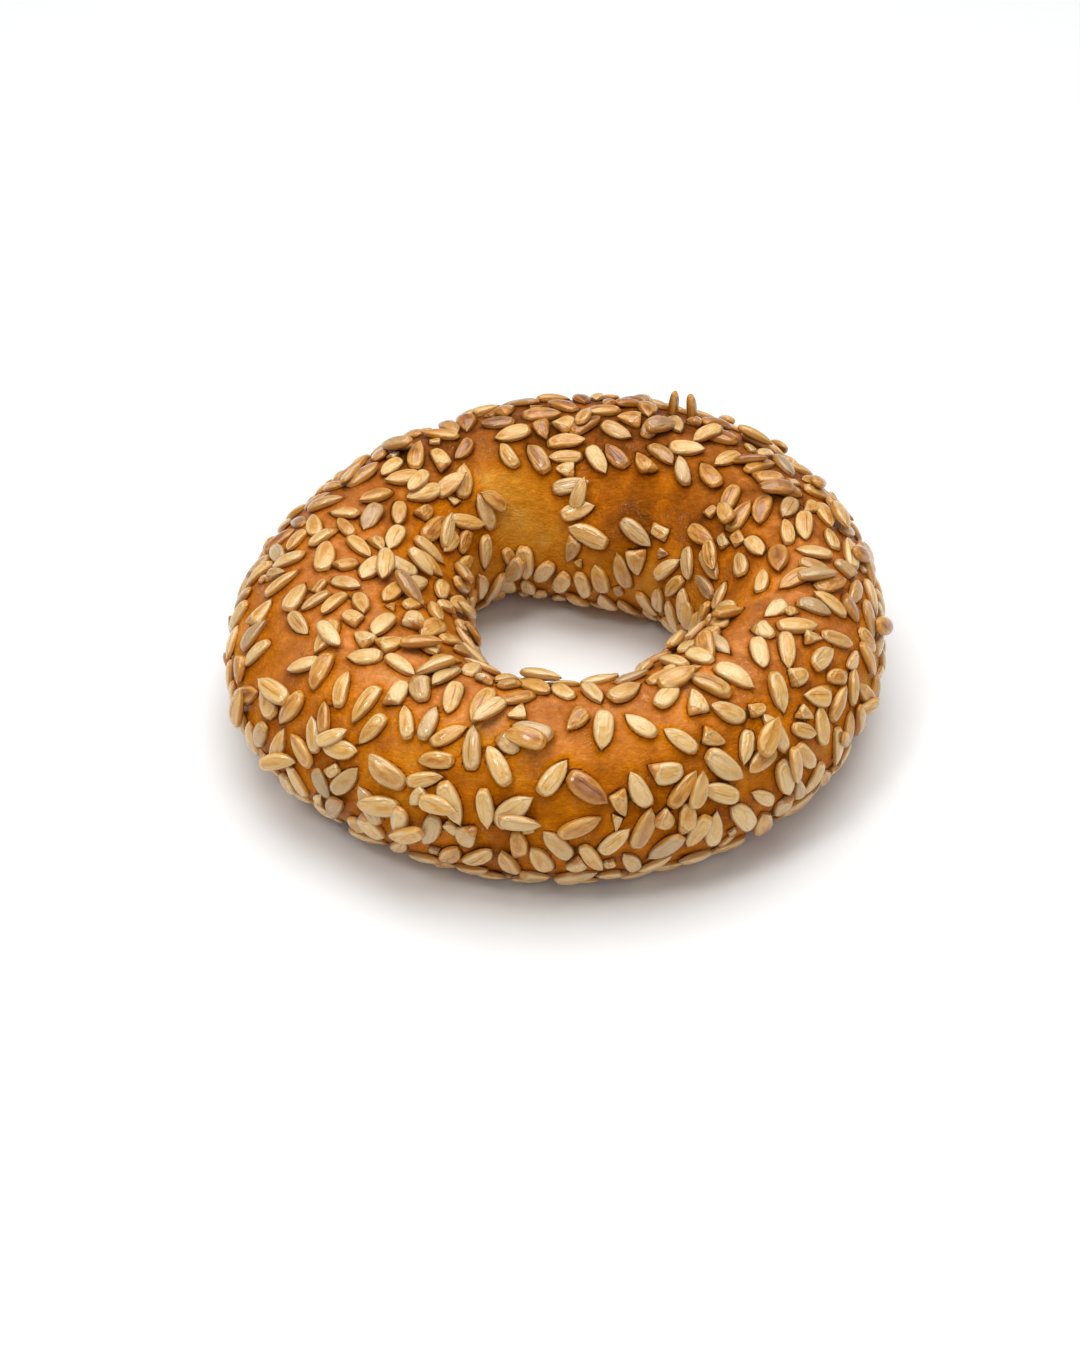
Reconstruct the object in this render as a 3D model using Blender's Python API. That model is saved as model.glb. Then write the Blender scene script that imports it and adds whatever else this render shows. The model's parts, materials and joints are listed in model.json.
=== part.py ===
"""Ring bread crusted with hulled sunflower kernels, lying on its flat baked sole.

The bread is one body: a plump, slightly uneven ring of dough with kernels baked into its crust.
Its section is a soft superellipse cut flat at the sole. Angles round the ring run from +X towards +Y,
angles round the tube from its outer side (0) over the crest (90) to the wall of the hole (180).
Metres, +Z up. The origin is on the resting plane, under the middle of the bread's bounding box.
"""

import math
import random

import bmesh
import bpy
import numpy as np
from mathutils import Matrix, Vector

MM = 0.001

# The dough ring, sizes in millimetres.
RING_RADIUS = 46.2  # centre of the tube to the middle of the ring
HALF_WIDTH = 20.5  # of the tube
RISE = 20.0  # from the tube's widest level to its crest
DROP = 17.8  # from the widest level down to the round underside that the sole cuts off
WIDEST_LEVEL = 15.3  # above the resting plane
SQUARENESS = 1.89  # 2 is an ellipse, less is more pointed
SOLE_ANGLE = 60.0  # below the widest level, where the sole cuts the tube on both sides
RING_CENTRE = (2.505, -3.34)  # the ring's middle, seen from the middle of the bounding box

# Hand shaping: waves round the ring as {waves per turn: (cosine part, sine part)}.
RADIUS_WAVES = {2: (-0.48, 0.29), 3: (0.93, 0.98)}
WIDTH_WAVES = {1: (-1.34, 2.18), 2: (0.0, 1.56), 3: (-1.94, -1.58)}
RISE_WAVES = {1: (0.49, 1.57), 2: (-1.17, 0.44)}
# Swellings into the hole and on the outer side: the middle and the reach round the ring (degrees), then mm.
HOLE_BULGES = ((20.0, 23.0, 5.0), (80.0, 26.0, 1.0), (146.0, 30.0, 2.8), (194.0, 16.0, -1.8))
OUTER_BULGES = ((278.0, 44.0, 1.3), (214.0, 26.0, 1.1))

# The join of the dough strand, a shallow valley across the tube.
JOIN_ANGLE = 117.0
JOIN_SPREAD = 5.0
JOIN_DEPTH = 1.1

# The kernels. Lengths are in millimetres, widths and thicknesses are shares of the length.
DRAW_SEED = 29
KERNELS = 500  # whole ones
BROKEN = 140
CHIPS = 70
KERNEL_LENGTH = (6.8, 9.9)
USUAL_LENGTH = 8.5
KERNEL_WIDTH = (0.45, 0.58)
KERNEL_THICKNESS = (0.27, 0.32)
BROKEN_KEPT = (0.5, 0.8)  # what is left of a broken kernel's length
CHIP_KEPT = (0.25, 0.45)
CHIP_GIRTH = 0.6  # a chip is thinner by this
PROUD = 0.78  # share of a kernel's thickness that stands out of the crust
WIDEST_PLACE = 0.40  # along a kernel, from its blunt end

# How they lie. Angles are in degrees: first round the ring, then round the tube.
TUBE_RANGE = (-52.0, 234.0)
LIES = ((-26.0, 90.0, 32.0), (15.0, 0.0, 50.0), (160.0, 0.0, 90.0), (360.0, 0.0, 26.0))  # up to, turn, spread
LEAN = 8.0  # at most, end over end
ROLL = 13.0  # at most, side over side
USUAL_SHARE = 0.6  # of the kernels drawn for a place, how many stay there
CROWDING = 0.88  # spacing of neighbours, where 1 is just touching
TRIES = 500
FLOOR_GAP = 0.3  # from the lowest kernels to the resting plane (mm)
BALLS = ((-0.29, 0.43), (0.0, 0.5), (0.30, 0.33))  # along a kernel, and radius by its width
WHOLE_ABOVE = 0.9  # a kernel that keeps more than this of its length counts as whole
BROKEN_ROOM = 0.8  # a broken kernel's balls are smaller by this
CORNER_SHARE = 0.9  # how far a rounded kernel reaches into its box's corners
# Patches of bare crust: the two angles of the middle, then the two reaches.
BARE_PATCHES = (
    (116, 128, 7, 34),
    (104, 160, 15, 14),
    (48, 131, 20, 11),
    (280, 47, 10, 9),
    (201, 46, 10, 8),
    (184, 37, 6, 9),
    (218, 104, 8, 10),
    (336, 112, 13, 12),
    (352, 128, 10, 12),
    (292, 66, 7, 5),
    (272, 84, 12, 7),
    (60, 136, 26, 12),
    (110, 140, 11, 22),
    (326, 99, 8, 9),
    (343, 124, 10, 9),
)
# Patches where every kernel that finds room stays, written in the same way.
DENSE_PATCHES = (
    (272, 108, 52, 15),
    (188, 125, 34, 26),
    (150, 112, 24, 40),
    (132, 132, 9, 34),
    (86, 200, 62, 26),
    (24, 74, 26, 24),
    (16, 172, 34, 32),
    (312, 118, 26, 22),
    (205, 165, 50, 40),
    (222, -14, 34, 24),
    (332, 0, 30, 26),
    (268, -30, 40, 18),
    (262, 10, 66, 26),
)

# Two kernels stand on end at the back crest: the two angles, and the lean.
STANDING = ((66.0, 66.0, 6.0), (62.0, 63.0, -5.0))
STANDING_SIZE = (9.0, 3.4, 2.4, 0.0, 1.0)
STANDING_LIFT = 1.5  # mm
STANDING_ROOM = 1.6  # kept free round them (mm)
# Others ride on a kernel that is bedded in the crust.
RIDERS = 64
HOSTS = 240  # only the largest kernels carry another
RIDING_SLOPE = -0.15  # upward share of the crust's direction where kernels lie on each other
RIDERS_APART = 7.0  # mm
LONE_RIDERS = 0.3  # of those drawn outside the dense patches, how many stay
RIDER_TURN = 70.0  # at most
RIDER_SHIFT = 0.25  # at most, along the host, as a share of the rider's length
RIDER_TILT = (12.0, 22.0)

# The solid: cuts of the dough, and how the kernels are joined to it.
RING_STEPS = 44
TUBE_STEPS = 12
SOLE_SNAP = 0.05  # what ends lower than this above the resting plane lies on it (mm)
FUSED = 310  # the standing kernels, the riders and the largest of the others
KEEL = 0.35  # how deep the widest level of a solid kernel lies in the crust (mm)
STATIONS = (0.24, 0.68)  # cross-sections of a solid kernel
TOP_SHARE = 0.45  # of a cross-section's width, how much is flat on top
TRIANGLES = 11900  # left after the smallest slivers are smoothed away
SHARP_ANGLE = 28.0

CRUST_COLOUR = (0.52, 0.24, 0.055, 1.0)


def waves(mean, parts, ring_angle):
    """A size in millimetres that varies smoothly round the ring."""
    total = mean
    for count, (cosine, sine) in parts.items():
        total += cosine * math.cos(count * ring_angle) + sine * math.sin(count * ring_angle)
    return total


def swell(ring_angle, middle, reach):
    """1 at one place of the ring, falling smoothly to nearly 0 beyond the reach."""
    away = (math.degrees(ring_angle) - middle + 180.0) % 360.0 - 180.0
    return math.exp(-((away / reach) ** 2))


def softened(value, power):
    return math.copysign(abs(value) ** power, value)


def crust_point(ring_angle, tube_angle):
    """A point of the dough's surface in metres, without the kernels."""
    power = 2.0 / SQUARENESS
    dip = JOIN_DEPTH * swell(ring_angle, JOIN_ANGLE, JOIN_SPREAD)
    bulges = OUTER_BULGES if math.cos(tube_angle) > 0.0 else HOLE_BULGES
    half_width = waves(HALF_WIDTH, WIDTH_WAVES, ring_angle) - dip
    half_width += sum(depth * swell(ring_angle, middle, reach) for middle, reach, depth in bulges)
    height = waves(RISE, RISE_WAVES, ring_angle) - dip if math.sin(tube_angle) > 0.0 else DROP
    out = waves(RING_RADIUS, RADIUS_WAVES, ring_angle) + half_width * softened(math.cos(tube_angle), power)
    up = WIDEST_LEVEL + height * softened(math.sin(tube_angle), power)
    x = RING_CENTRE[0] + out * math.cos(ring_angle)
    y = RING_CENTRE[1] + out * math.sin(ring_angle)
    return Vector((x, y, max(up, 0.0))) * MM


def crust_frame(ring_angle, tube_angle):
    """The surface point with its directions up the tube, along the ring, and out of the crust."""
    step = 0.002
    up = crust_point(ring_angle, tube_angle + step) - crust_point(ring_angle, tube_angle - step)
    along = crust_point(ring_angle + step, tube_angle) - crust_point(ring_angle - step, tube_angle)
    out = along.cross(up).normalized()
    up = (up - out * up.dot(out)).normalized()
    return crust_point(ring_angle, tube_angle), up, out.cross(up), out


def whole_size(draw):
    length = draw.triangular(*KERNEL_LENGTH, USUAL_LENGTH)
    return length, length * draw.uniform(*KERNEL_WIDTH), length * draw.uniform(*KERNEL_THICKNESS)


def draw_sizes(draw):
    """Kernel sizes, largest first: (length, width, thickness, first and last cut along the kernel)."""
    sizes = []
    for _ in range(KERNELS):
        sizes.append(whole_size(draw) + (0.0, 1.0))
    for _ in range(BROKEN):
        length, width, thickness = whole_size(draw)
        kept = draw.uniform(*BROKEN_KEPT)
        first = draw.choice((0.0, 1.0 - kept))
        sizes.append((length, width, thickness, first, first + kept))
    for _ in range(CHIPS):
        length, width, thickness = whole_size(draw)
        kept = draw.uniform(*CHIP_KEPT)
        first = draw.uniform(0.1, 0.9 - kept)
        sizes.append((length, width * CHIP_GIRTH, thickness * CHIP_GIRTH, first, first + kept))
    return sorted(sizes, key=lambda size: -size[0] * (size[4] - size[3]))


def in_patch(ring_angle, tube_angle, patch):
    """Whether a place on the crust is in a patch."""
    ring_place, tube_place, ring_reach, tube_reach = patch
    across = ((ring_angle - ring_place + 180.0) % 360.0 - 180.0) / ring_reach
    upwards = (tube_angle - tube_place) / tube_reach
    return across * across + upwards * upwards < 1.0


def patch_share(ring_angle, tube_angle):
    """The share of kernels that stays at this place, from 0 on bare crust to 1."""
    if any(in_patch(ring_angle, tube_angle, patch) for patch in BARE_PATCHES):
        return 0.0
    if any(in_patch(ring_angle, tube_angle, patch) for patch in DENSE_PATCHES):
        return 1.0
    return USUAL_SHARE


def lie(draw, tube_angle):
    """The turn of a kernel from straight up the tube: along the ring at the foot, mostly upright on the
    lower outer side and in the hole, and any way on the crest."""
    turn = draw.uniform(-1.0, 1.0)
    for end_angle, middle, spread in LIES:
        if tube_angle < end_angle:
            return middle + spread * turn


def bedded_place(draw):
    """A random place for one kernel as a matrix, or None where the crust stays bare."""
    ring_angle = draw.uniform(0.0, 360.0)
    tube_angle = draw.uniform(*TUBE_RANGE)
    turn = lie(draw, tube_angle)
    lean, roll, keep, room = (draw.uniform(-1.0, 1.0) for _ in range(4))
    flip = draw.choice((0.0, 180.0))
    reach = RING_RADIUS + HALF_WIDTH * math.cos(math.radians(tube_angle))
    if (keep + 1.0) / 2.0 > patch_share(ring_angle, tube_angle):
        return None
    if (room + 1.0) / 2.0 > reach / (RING_RADIUS + HALF_WIDTH):
        return None
    place, up, along, out = crust_frame(math.radians(ring_angle), math.radians(tube_angle))
    base = Matrix((up, along, out)).transposed()
    base = base @ Matrix.Rotation(math.radians(turn + flip), 3, "Z")
    base = base @ Matrix.Rotation(math.radians(lean * LEAN), 3, "Y")
    base = base @ Matrix.Rotation(math.radians(roll * ROLL), 3, "X")
    return Matrix.Translation(place) @ base.to_4x4()


def kernel_balls(matrix, size):
    """Three balls along a kernel that stand for its outline when neighbours are kept apart."""
    length, width, _, first, last = size
    kept = last - first
    balls = []
    for share, girth in BALLS:
        radius = width * girth * (1.0 if kept > WHOLE_ABOVE else BROKEN_ROOM)
        centre = matrix @ Vector((share * length * kept * MM, 0.0, 0.0))
        balls.append((*centre, radius * MM))
    return balls


def lowest(matrix, size):
    """The height of the kernel's lowest point, whose corners are rounded off."""
    length, width, thickness, first, last = size
    half = ((last - first) * length / 2.0, width / 2.0, thickness / 2.0)
    fall = sum(abs(matrix[2][axis]) * half[axis] * MM for axis in range(3))
    return matrix.translation.z - fall * CORNER_SHARE


def stand_up(ring_angle, tube_angle, lean):
    """A kernel that stands on its tip in the crust, edge on to the front."""
    place, _, along, _ = crust_frame(math.radians(ring_angle), math.radians(tube_angle))
    down = Vector((0.0, 0.0, -1.0))
    base = Matrix((down, along.cross(down), along)).transposed()
    base = base @ Matrix.Rotation(math.radians(lean), 3, "Y")
    place.z += STANDING_LIFT * MM
    return Matrix.Translation(place) @ base.to_4x4(), STANDING_SIZE


def angles_of(matrix):
    """About where on the crust a kernel lies: its angles round the ring and round the tube."""
    x, y, z = matrix.translation / MM
    x -= RING_CENTRE[0]
    y -= RING_CENTRE[1]
    tube_angle = math.atan2(z - WIDEST_LEVEL, math.hypot(x, y) - RING_RADIUS)
    return math.degrees(math.atan2(y, x)), math.degrees(tube_angle) % 360.0


def ride_on(host, draw):
    """A kernel that lies half on the host kernel, with one end down on the crust."""
    matrix, size = host
    length, width, thickness = whole_size(draw)
    side = draw.choice((-1.0, 1.0))
    turn = Matrix.Rotation(math.radians(draw.uniform(-RIDER_TURN, RIDER_TURN)), 4, "Z")
    shift = draw.uniform(-RIDER_SHIFT, RIDER_SHIFT) * length
    offset = Matrix.Translation(Vector((shift, side * 0.5 * width, 0.5 * thickness)) * MM)
    tilt = Matrix.Rotation(math.radians(-side * draw.uniform(*RIDER_TILT)), 4, "X")
    return matrix @ offset @ tilt @ turn, (length, width, thickness, 0.0, 1.0)


def bed_kernels(draw, taken):
    """Puts each kernel where it finds room, away from what is taken."""
    placed = []
    for size in draw_sizes(draw):
        for _ in range(TRIES):
            matrix = bedded_place(draw)
            if matrix is None or lowest(matrix, size) < FLOOR_GAP * MM:
                continue
            balls = np.array(kernel_balls(matrix, size))
            apart = np.linalg.norm(balls[:, None, :3] - taken[None, :, :3], axis=2)
            if (apart > (balls[:, None, 3] + taken[None, :, 3]) * CROWDING).all():
                placed.append((matrix, size))
                taken = np.vstack((taken, balls))
                break
    return placed


def pick_riders(draw, placed):
    """Kernels that lie on others, most of them in the dense patches."""
    riders = []
    while len(riders) < RIDERS:
        host = placed[draw.randrange(HOSTS)]
        rider = ride_on(host, draw)
        wanted = patch_share(*angles_of(host[0])) == 1.0 or draw.random() < LONE_RIDERS
        carried = host[0].col[2].z > RIDING_SLOPE and lowest(*rider) > FLOOR_GAP * MM
        apart = [(rider[0].translation - other.translation).length for other, _ in riders]
        if wanted and carried and min(apart, default=1.0) > RIDERS_APART * MM:
            riders.append(rider)
    return riders


def scatter():
    """Every kernel as (matrix, size): the standing ones, the riders, then the others, largest first."""
    draw = random.Random(DRAW_SEED)
    standing = [stand_up(*place) for place in STANDING]
    taken = np.array([(*matrix.translation, STANDING_ROOM * MM) for matrix, _ in standing])
    placed = bed_kernels(draw, taken)
    return standing + pick_riders(draw, placed) + placed


def girth_share(along):
    """Half the kernel's width, as a share of its widest, from its blunt end (0) to its tip (1)."""
    if along < WIDEST_PLACE:
        return (1.0 - ((WIDEST_PLACE - along) / WIDEST_PLACE) ** 2.8) ** 0.42
    return (1.0 - ((along - WIDEST_PLACE) / (1.0 - WIDEST_PLACE)) ** 2.3) ** 0.85


def thickness_share(along):
    """Half its thickness, in the same way."""
    if along < WIDEST_PLACE:
        return math.sqrt(1.0 - ((WIDEST_PLACE - along) / WIDEST_PLACE) ** 2.6)
    return (1.0 - ((along - WIDEST_PLACE) / (1.0 - WIDEST_PLACE)) ** 2.2) ** 0.8


def crust_bend(matrix, axis):
    """The roundness of the crust (1/mm) under a kernel, along its own x (0) or y (1) axis."""
    radial = matrix.translation / MM - Vector((*RING_CENTRE, 0.0))
    radial.z = 0.0
    reach = radial.length
    radial.normalize()
    ring_way = Vector((-radial.y, radial.x, 0.0))
    along_ring = matrix.col[axis].xyz.dot(ring_way) ** 2
    return (1.0 - along_ring) / HALF_WIDTH + along_ring * matrix.col[2].xyz.dot(radial) / reach


def hugging(matrix, bends, x, y, z):
    """A point of a kernel's own frame (mm), set on the bread and bent with the crust."""
    drop = (bends[0] * x * x + bends[1] * y * y) / 2.0
    return matrix @ (Vector((x, y, z - drop)) * MM)


def kernel_mesh(matrix, size):
    """A faceted kernel: at each station a flat top, two flanks and a keel, closed by a point at either end."""
    length, width, thickness, first, last = size
    half = (last - first) * length / 2.0
    ridge_height = thickness * PROUD
    bends = (crust_bend(matrix, 0), crust_bend(matrix, 1))
    form = bmesh.new()
    rings = []
    for station in STATIONS:
        along = first + (last - first) * station
        x = (2.0 * station - 1.0) * half
        y = width / 2.0 * girth_share(along) * (1.0 + KEEL / ridge_height)
        top = ridge_height * thickness_share(along)
        flat = y * TOP_SHARE
        corners = ((x, y, -KEEL), (x, flat, top), (x, -flat, top), (x, -y, -KEEL), (x, 0.0, -KEEL - top))
        rings.append([form.verts.new(hugging(matrix, bends, *corner)) for corner in corners])
    blunt = form.verts.new(hugging(matrix, bends, -half, 0.0, -KEEL))
    tip = form.verts.new(hugging(matrix, bends, half, 0.0, -KEEL))
    corners = len(rings[0])
    for side in range(corners):
        after = (side + 1) % corners
        form.faces.new((blunt, rings[0][after], rings[0][side]))
        form.faces.new((tip, rings[-1][side], rings[-1][after]))
        for low, high in zip(rings, rings[1:]):
            form.faces.new((low[side], low[after], high[after], high[side]))
    bmesh.ops.recalc_face_normals(form, faces=form.faces)
    bmesh.ops.triangulate(form, faces=form.faces)
    mesh = bpy.data.meshes.new("kernel")
    form.to_mesh(mesh)
    form.free()
    return mesh


def dough_object(name):
    """The bare ring of dough with its flat sole, as a closed mesh."""
    form = bmesh.new()
    low = math.radians(-SOLE_ANGLE)
    sweep = math.radians(180.0 + 2.0 * SOLE_ANGLE)
    rows = []
    for ring_step in range(RING_STEPS):
        ring_angle = 2.0 * math.pi * ring_step / RING_STEPS
        angles = [low + sweep * step / TUBE_STEPS for step in range(TUBE_STEPS + 1)]
        row = [crust_point(ring_angle, tube_angle) for tube_angle in angles]
        row[0].z = row[-1].z = 0.0
        rows.append([form.verts.new(point) for point in row])
    for row, beside in zip(rows, rows[1:] + rows[:1]):
        for step in range(TUBE_STEPS + 1):
            after = (step + 1) % (TUBE_STEPS + 1)
            form.faces.new((row[step], beside[step], beside[after], row[after]))
    bmesh.ops.triangulate(form, faces=form.faces)
    bmesh.ops.recalc_face_normals(form, faces=form.faces)
    mesh = bpy.data.meshes.new(name)
    form.to_mesh(mesh)
    form.free()
    dough = bpy.data.objects.new(name, mesh)
    bpy.context.scene.collection.objects.link(dough)
    return dough


def fuse(dough, placed):
    """Joins the kernels to the dough by one union and leaves one closed body."""
    group = bpy.data.collections.new("kernels")
    bpy.context.scene.collection.children.link(group)
    for number, (matrix, size) in enumerate(placed):
        kernel = bpy.data.objects.new(f"kernel_{number:03d}", kernel_mesh(matrix, size))
        kernel.hide_render = True
        kernel.display_type = "WIRE"
        group.objects.link(kernel)
    union = dough.modifiers.new("union", "BOOLEAN")
    union.operation = "UNION"
    union.solver = "MANIFOLD"
    union.operand_type = "COLLECTION"
    union.collection = group
    bpy.context.view_layer.update()
    graph = bpy.context.evaluated_depsgraph_get()
    joined = bpy.data.meshes.new_from_object(dough.evaluated_get(graph))
    dough.modifiers.remove(union)
    dough.data = joined
    joined.name = dough.name
    print("triangles of the union:", sum(len(face.vertices) - 2 for face in joined.polygons))
    for kernel in list(group.objects):
        bpy.data.objects.remove(kernel)
    bpy.data.collections.remove(group)
    keep_largest_shell(joined)
    trim_slivers(dough)


def keep_largest_shell(mesh):
    """Drops any scrap that touches nothing and any hollow that the union has sealed."""
    form = bmesh.new()
    form.from_mesh(mesh)
    bmesh.ops.triangulate(form, faces=form.faces)
    left = set(form.faces)
    shells = []
    while left:
        shell = [left.pop()]
        for face in shell:
            for edge in face.edges:
                for beside in edge.link_faces:
                    if beside in left:
                        left.remove(beside)
                        shell.append(beside)
        shells.append(shell)
    shells.sort(key=len)
    loose = [face for shell in shells[:-1] for face in shell]
    bmesh.ops.delete(form, geom=loose, context="FACES")
    form.to_mesh(mesh)
    form.free()


def trim_slivers(dough):
    """Merges the shortest edges that the union leaves, down to the wanted number of triangles."""
    trim = dough.modifiers.new("trim", "DECIMATE")
    trim.ratio = min(1.0, TRIANGLES / len(dough.data.polygons))
    trim.use_collapse_triangulate = True
    bpy.context.view_layer.update()
    graph = bpy.context.evaluated_depsgraph_get()
    trimmed = bpy.data.meshes.new_from_object(dough.evaluated_get(graph))
    dough.modifiers.remove(trim)
    dough.data = trimmed
    for vertex in trimmed.vertices:
        if vertex.co.z < SOLE_SNAP * MM:
            vertex.co.z = 0.0


def crust_material():
    material = bpy.data.materials.new("seeded_crust")
    material.use_nodes = True
    shader = material.node_tree.nodes["Principled BSDF"]
    shader.inputs["Base Color"].default_value = CRUST_COLOUR
    shader.inputs["Roughness"].default_value = 0.42
    shader.inputs["Metallic"].default_value = 0.0
    return material


def main():
    for old in list(bpy.data.objects):
        bpy.data.objects.remove(old)
    placed = scatter()
    bread = dough_object("bread_ring")
    fuse(bread, placed[:FUSED])
    bread.data.materials.clear()
    bread.data.materials.append(crust_material())
    bread.data.shade_smooth()
    bread.data.set_sharp_from_angle(angle=math.radians(SHARP_ANGLE))
    corners = np.array([vertex.co for vertex in bread.data.vertices]) / MM
    print("kernels placed:", len(placed), "fused:", min(FUSED, len(placed)))
    print("triangles:", len(bread.data.polygons))
    print("box from (mm):", corners.min(axis=0).round(2), "to:", corners.max(axis=0).round(2))


main()
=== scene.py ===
# %% [markdown]
# # A ring bread under sunflower kernels
# This lesson dresses a ring of bread, a simit, that was already built as a plain solid. The real bread is a
# plump strand of dough, joined into a ring, brushed with a glaze, rolled in hulled sunflower kernels and
# baked. We make three pieces: the baked crust, the whole kernels and the broken ones. The solid comes in as
# a fixed frame in metres. We keep its box, so that at the end we can see whether we stayed inside it.

# %% Load the frame
import json
import math
import random

import bmesh
import bpy
import numpy as np
from mathutils import Matrix, Vector

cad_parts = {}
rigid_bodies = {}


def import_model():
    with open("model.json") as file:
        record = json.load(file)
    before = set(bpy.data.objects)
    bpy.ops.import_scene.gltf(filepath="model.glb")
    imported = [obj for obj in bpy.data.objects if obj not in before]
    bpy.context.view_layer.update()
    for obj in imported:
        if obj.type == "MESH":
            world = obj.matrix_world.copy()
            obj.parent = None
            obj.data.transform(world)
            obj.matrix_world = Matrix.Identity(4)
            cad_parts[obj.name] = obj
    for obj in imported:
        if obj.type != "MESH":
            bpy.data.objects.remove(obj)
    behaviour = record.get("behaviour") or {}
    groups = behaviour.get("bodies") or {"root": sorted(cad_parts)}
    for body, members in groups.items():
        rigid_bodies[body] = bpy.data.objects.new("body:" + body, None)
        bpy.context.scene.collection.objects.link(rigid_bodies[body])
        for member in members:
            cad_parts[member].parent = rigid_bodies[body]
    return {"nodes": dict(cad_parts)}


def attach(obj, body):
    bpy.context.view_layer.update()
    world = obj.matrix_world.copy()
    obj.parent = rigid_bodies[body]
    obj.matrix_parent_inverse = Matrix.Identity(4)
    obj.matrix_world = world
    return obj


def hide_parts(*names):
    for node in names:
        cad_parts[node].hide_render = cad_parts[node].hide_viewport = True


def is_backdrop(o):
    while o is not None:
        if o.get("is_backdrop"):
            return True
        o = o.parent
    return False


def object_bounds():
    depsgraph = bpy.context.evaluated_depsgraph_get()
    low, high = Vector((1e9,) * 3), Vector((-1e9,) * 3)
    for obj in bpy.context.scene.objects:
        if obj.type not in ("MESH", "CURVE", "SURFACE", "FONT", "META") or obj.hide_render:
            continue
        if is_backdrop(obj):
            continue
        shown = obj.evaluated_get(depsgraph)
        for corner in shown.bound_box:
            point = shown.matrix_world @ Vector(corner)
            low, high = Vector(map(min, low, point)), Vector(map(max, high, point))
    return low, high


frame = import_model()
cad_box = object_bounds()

MM = 0.001
print("solids:", ", ".join(frame["nodes"]))
print("from", [round(c / MM, 1) for c in cad_box[0]], "to", [round(c / MM, 1) for c in cad_box[1]], "mm")

# %% [markdown]
# ## Numbers that can be written as sums
# A procedural pattern is arithmetic on fields, and Blender draws that arithmetic as nodes. Wiring each Math
# node by hand hides the formula. So one small class wraps an output socket and takes over +, -, * and /,
# and one method adds any other node. The same pair serves shader trees and geometry trees, since both have
# Math nodes.

# %% A socket that does arithmetic
class Wire:
    """One output of a node. Sums and products on it add Math nodes to its tree."""

    def __init__(self, graph, socket):
        self.graph = graph
        self.socket = socket

    def __add__(self, other):
        return self.graph.maths("ADD", self, other)

    def __radd__(self, other):
        return self.graph.maths("ADD", other, self)

    def __sub__(self, other):
        return self.graph.maths("SUBTRACT", self, other)

    def __rsub__(self, other):
        return self.graph.maths("SUBTRACT", other, self)

    def __mul__(self, other):
        return self.graph.maths("MULTIPLY", self, other)

    def __rmul__(self, other):
        return self.graph.maths("MULTIPLY", other, self)

    def __truediv__(self, other):
        return self.graph.maths("DIVIDE", self, other)

    def __rtruediv__(self, other):
        return self.graph.maths("DIVIDE", other, self)


print("a wire takes", sum(name.startswith("__r") for name in vars(Wire)), "operators, both ways round")

# %% A tree that takes nodes by type, settings and sockets
class Graph:
    """Adds nodes to one node tree."""

    def __init__(self, tree):
        self.tree = tree

    def add(self, kind, settings, sockets, out=0):
        """Adds a node: its settings first, then its sockets by name or number, and gives one output."""
        node = self.tree.nodes.new(kind)
        for name, value in settings.items():
            if name == "stops":
                self.set_stops(node.color_ramp, value)
            else:
                setattr(node, name, value)
        self.feed(node, sockets)
        return Wire(self, node.outputs[out]) if len(node.outputs) else node

    def feed(self, node, sockets):
        """Links a wire to each of these inputs, or sets a plain value on it."""
        for name, value in sockets.items():
            if isinstance(value, Wire):
                self.tree.links.new(value.socket, node.inputs[name])
            else:
                node.inputs[name].default_value = value

    def set_stops(self, ramp, stops):
        while len(ramp.elements) < len(stops):
            ramp.elements.new(1.0)
        for element, (place, colour) in zip(ramp.elements, stops):
            element.position = place
            element.color = (*colour, 1.0)

    def maths(self, operation, *values):
        return self.add("ShaderNodeMath", {"operation": operation}, dict(enumerate(values)))

    def vector(self, operation, *values):
        return self.add("ShaderNodeVectorMath", {"operation": operation}, dict(enumerate(values)))

    def mix(self, share, low, high):
        """A colour between two, by a share from 0 to 1."""
        settings = {"data_type": "RGBA", "clamp_factor": True}
        return self.add("ShaderNodeMix", settings, {0: share, 6: low, 7: high}, out=2)

    def between(self, value, low, high, start=0.0, end=1.0):
        """A smooth step of a value from low to high."""
        settings = {"interpolation_type": "SMOOTHSTEP"}
        return self.add("ShaderNodeMapRange", settings, {0: value, 1: low, 2: high, 3: start, 4: end})


print("a graph can:", ", ".join(name for name in vars(Graph) if not name.startswith("_")))

# %% [markdown]
# ## The camera
# A camera could be moved by eye until the picture looks right. Here it stands where the photograph was
# taken: half a metre away, looking down by nearly 39 degrees. The numbers come from fitting the ring's
# outline and its hole. The camera comes first, because every later step is judged through it.

# %% Camera
RING_CENTRE = (2.505, -3.34)  # middle of the ring from the middle of the box, mm
VIEW_ANGLE = 38.75  # degrees above the horizon
VIEW_DISTANCE = 500.0  # mm
FOCAL_LENGTH = 62.8  # mm
SENSOR_WIDTH = 36.0  # mm, along the picture's long side
NEAREST_SEEN = 0.01  # metres
AIM_FROM_RING = (-6.0, 4.4)  # the aimed point on the floor, from the ring's middle, mm


def in_scene(name, data):
    """A new object with this data, linked to the scene."""
    item = bpy.data.objects.new(name, data)
    bpy.context.scene.collection.objects.link(item)
    return item


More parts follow.
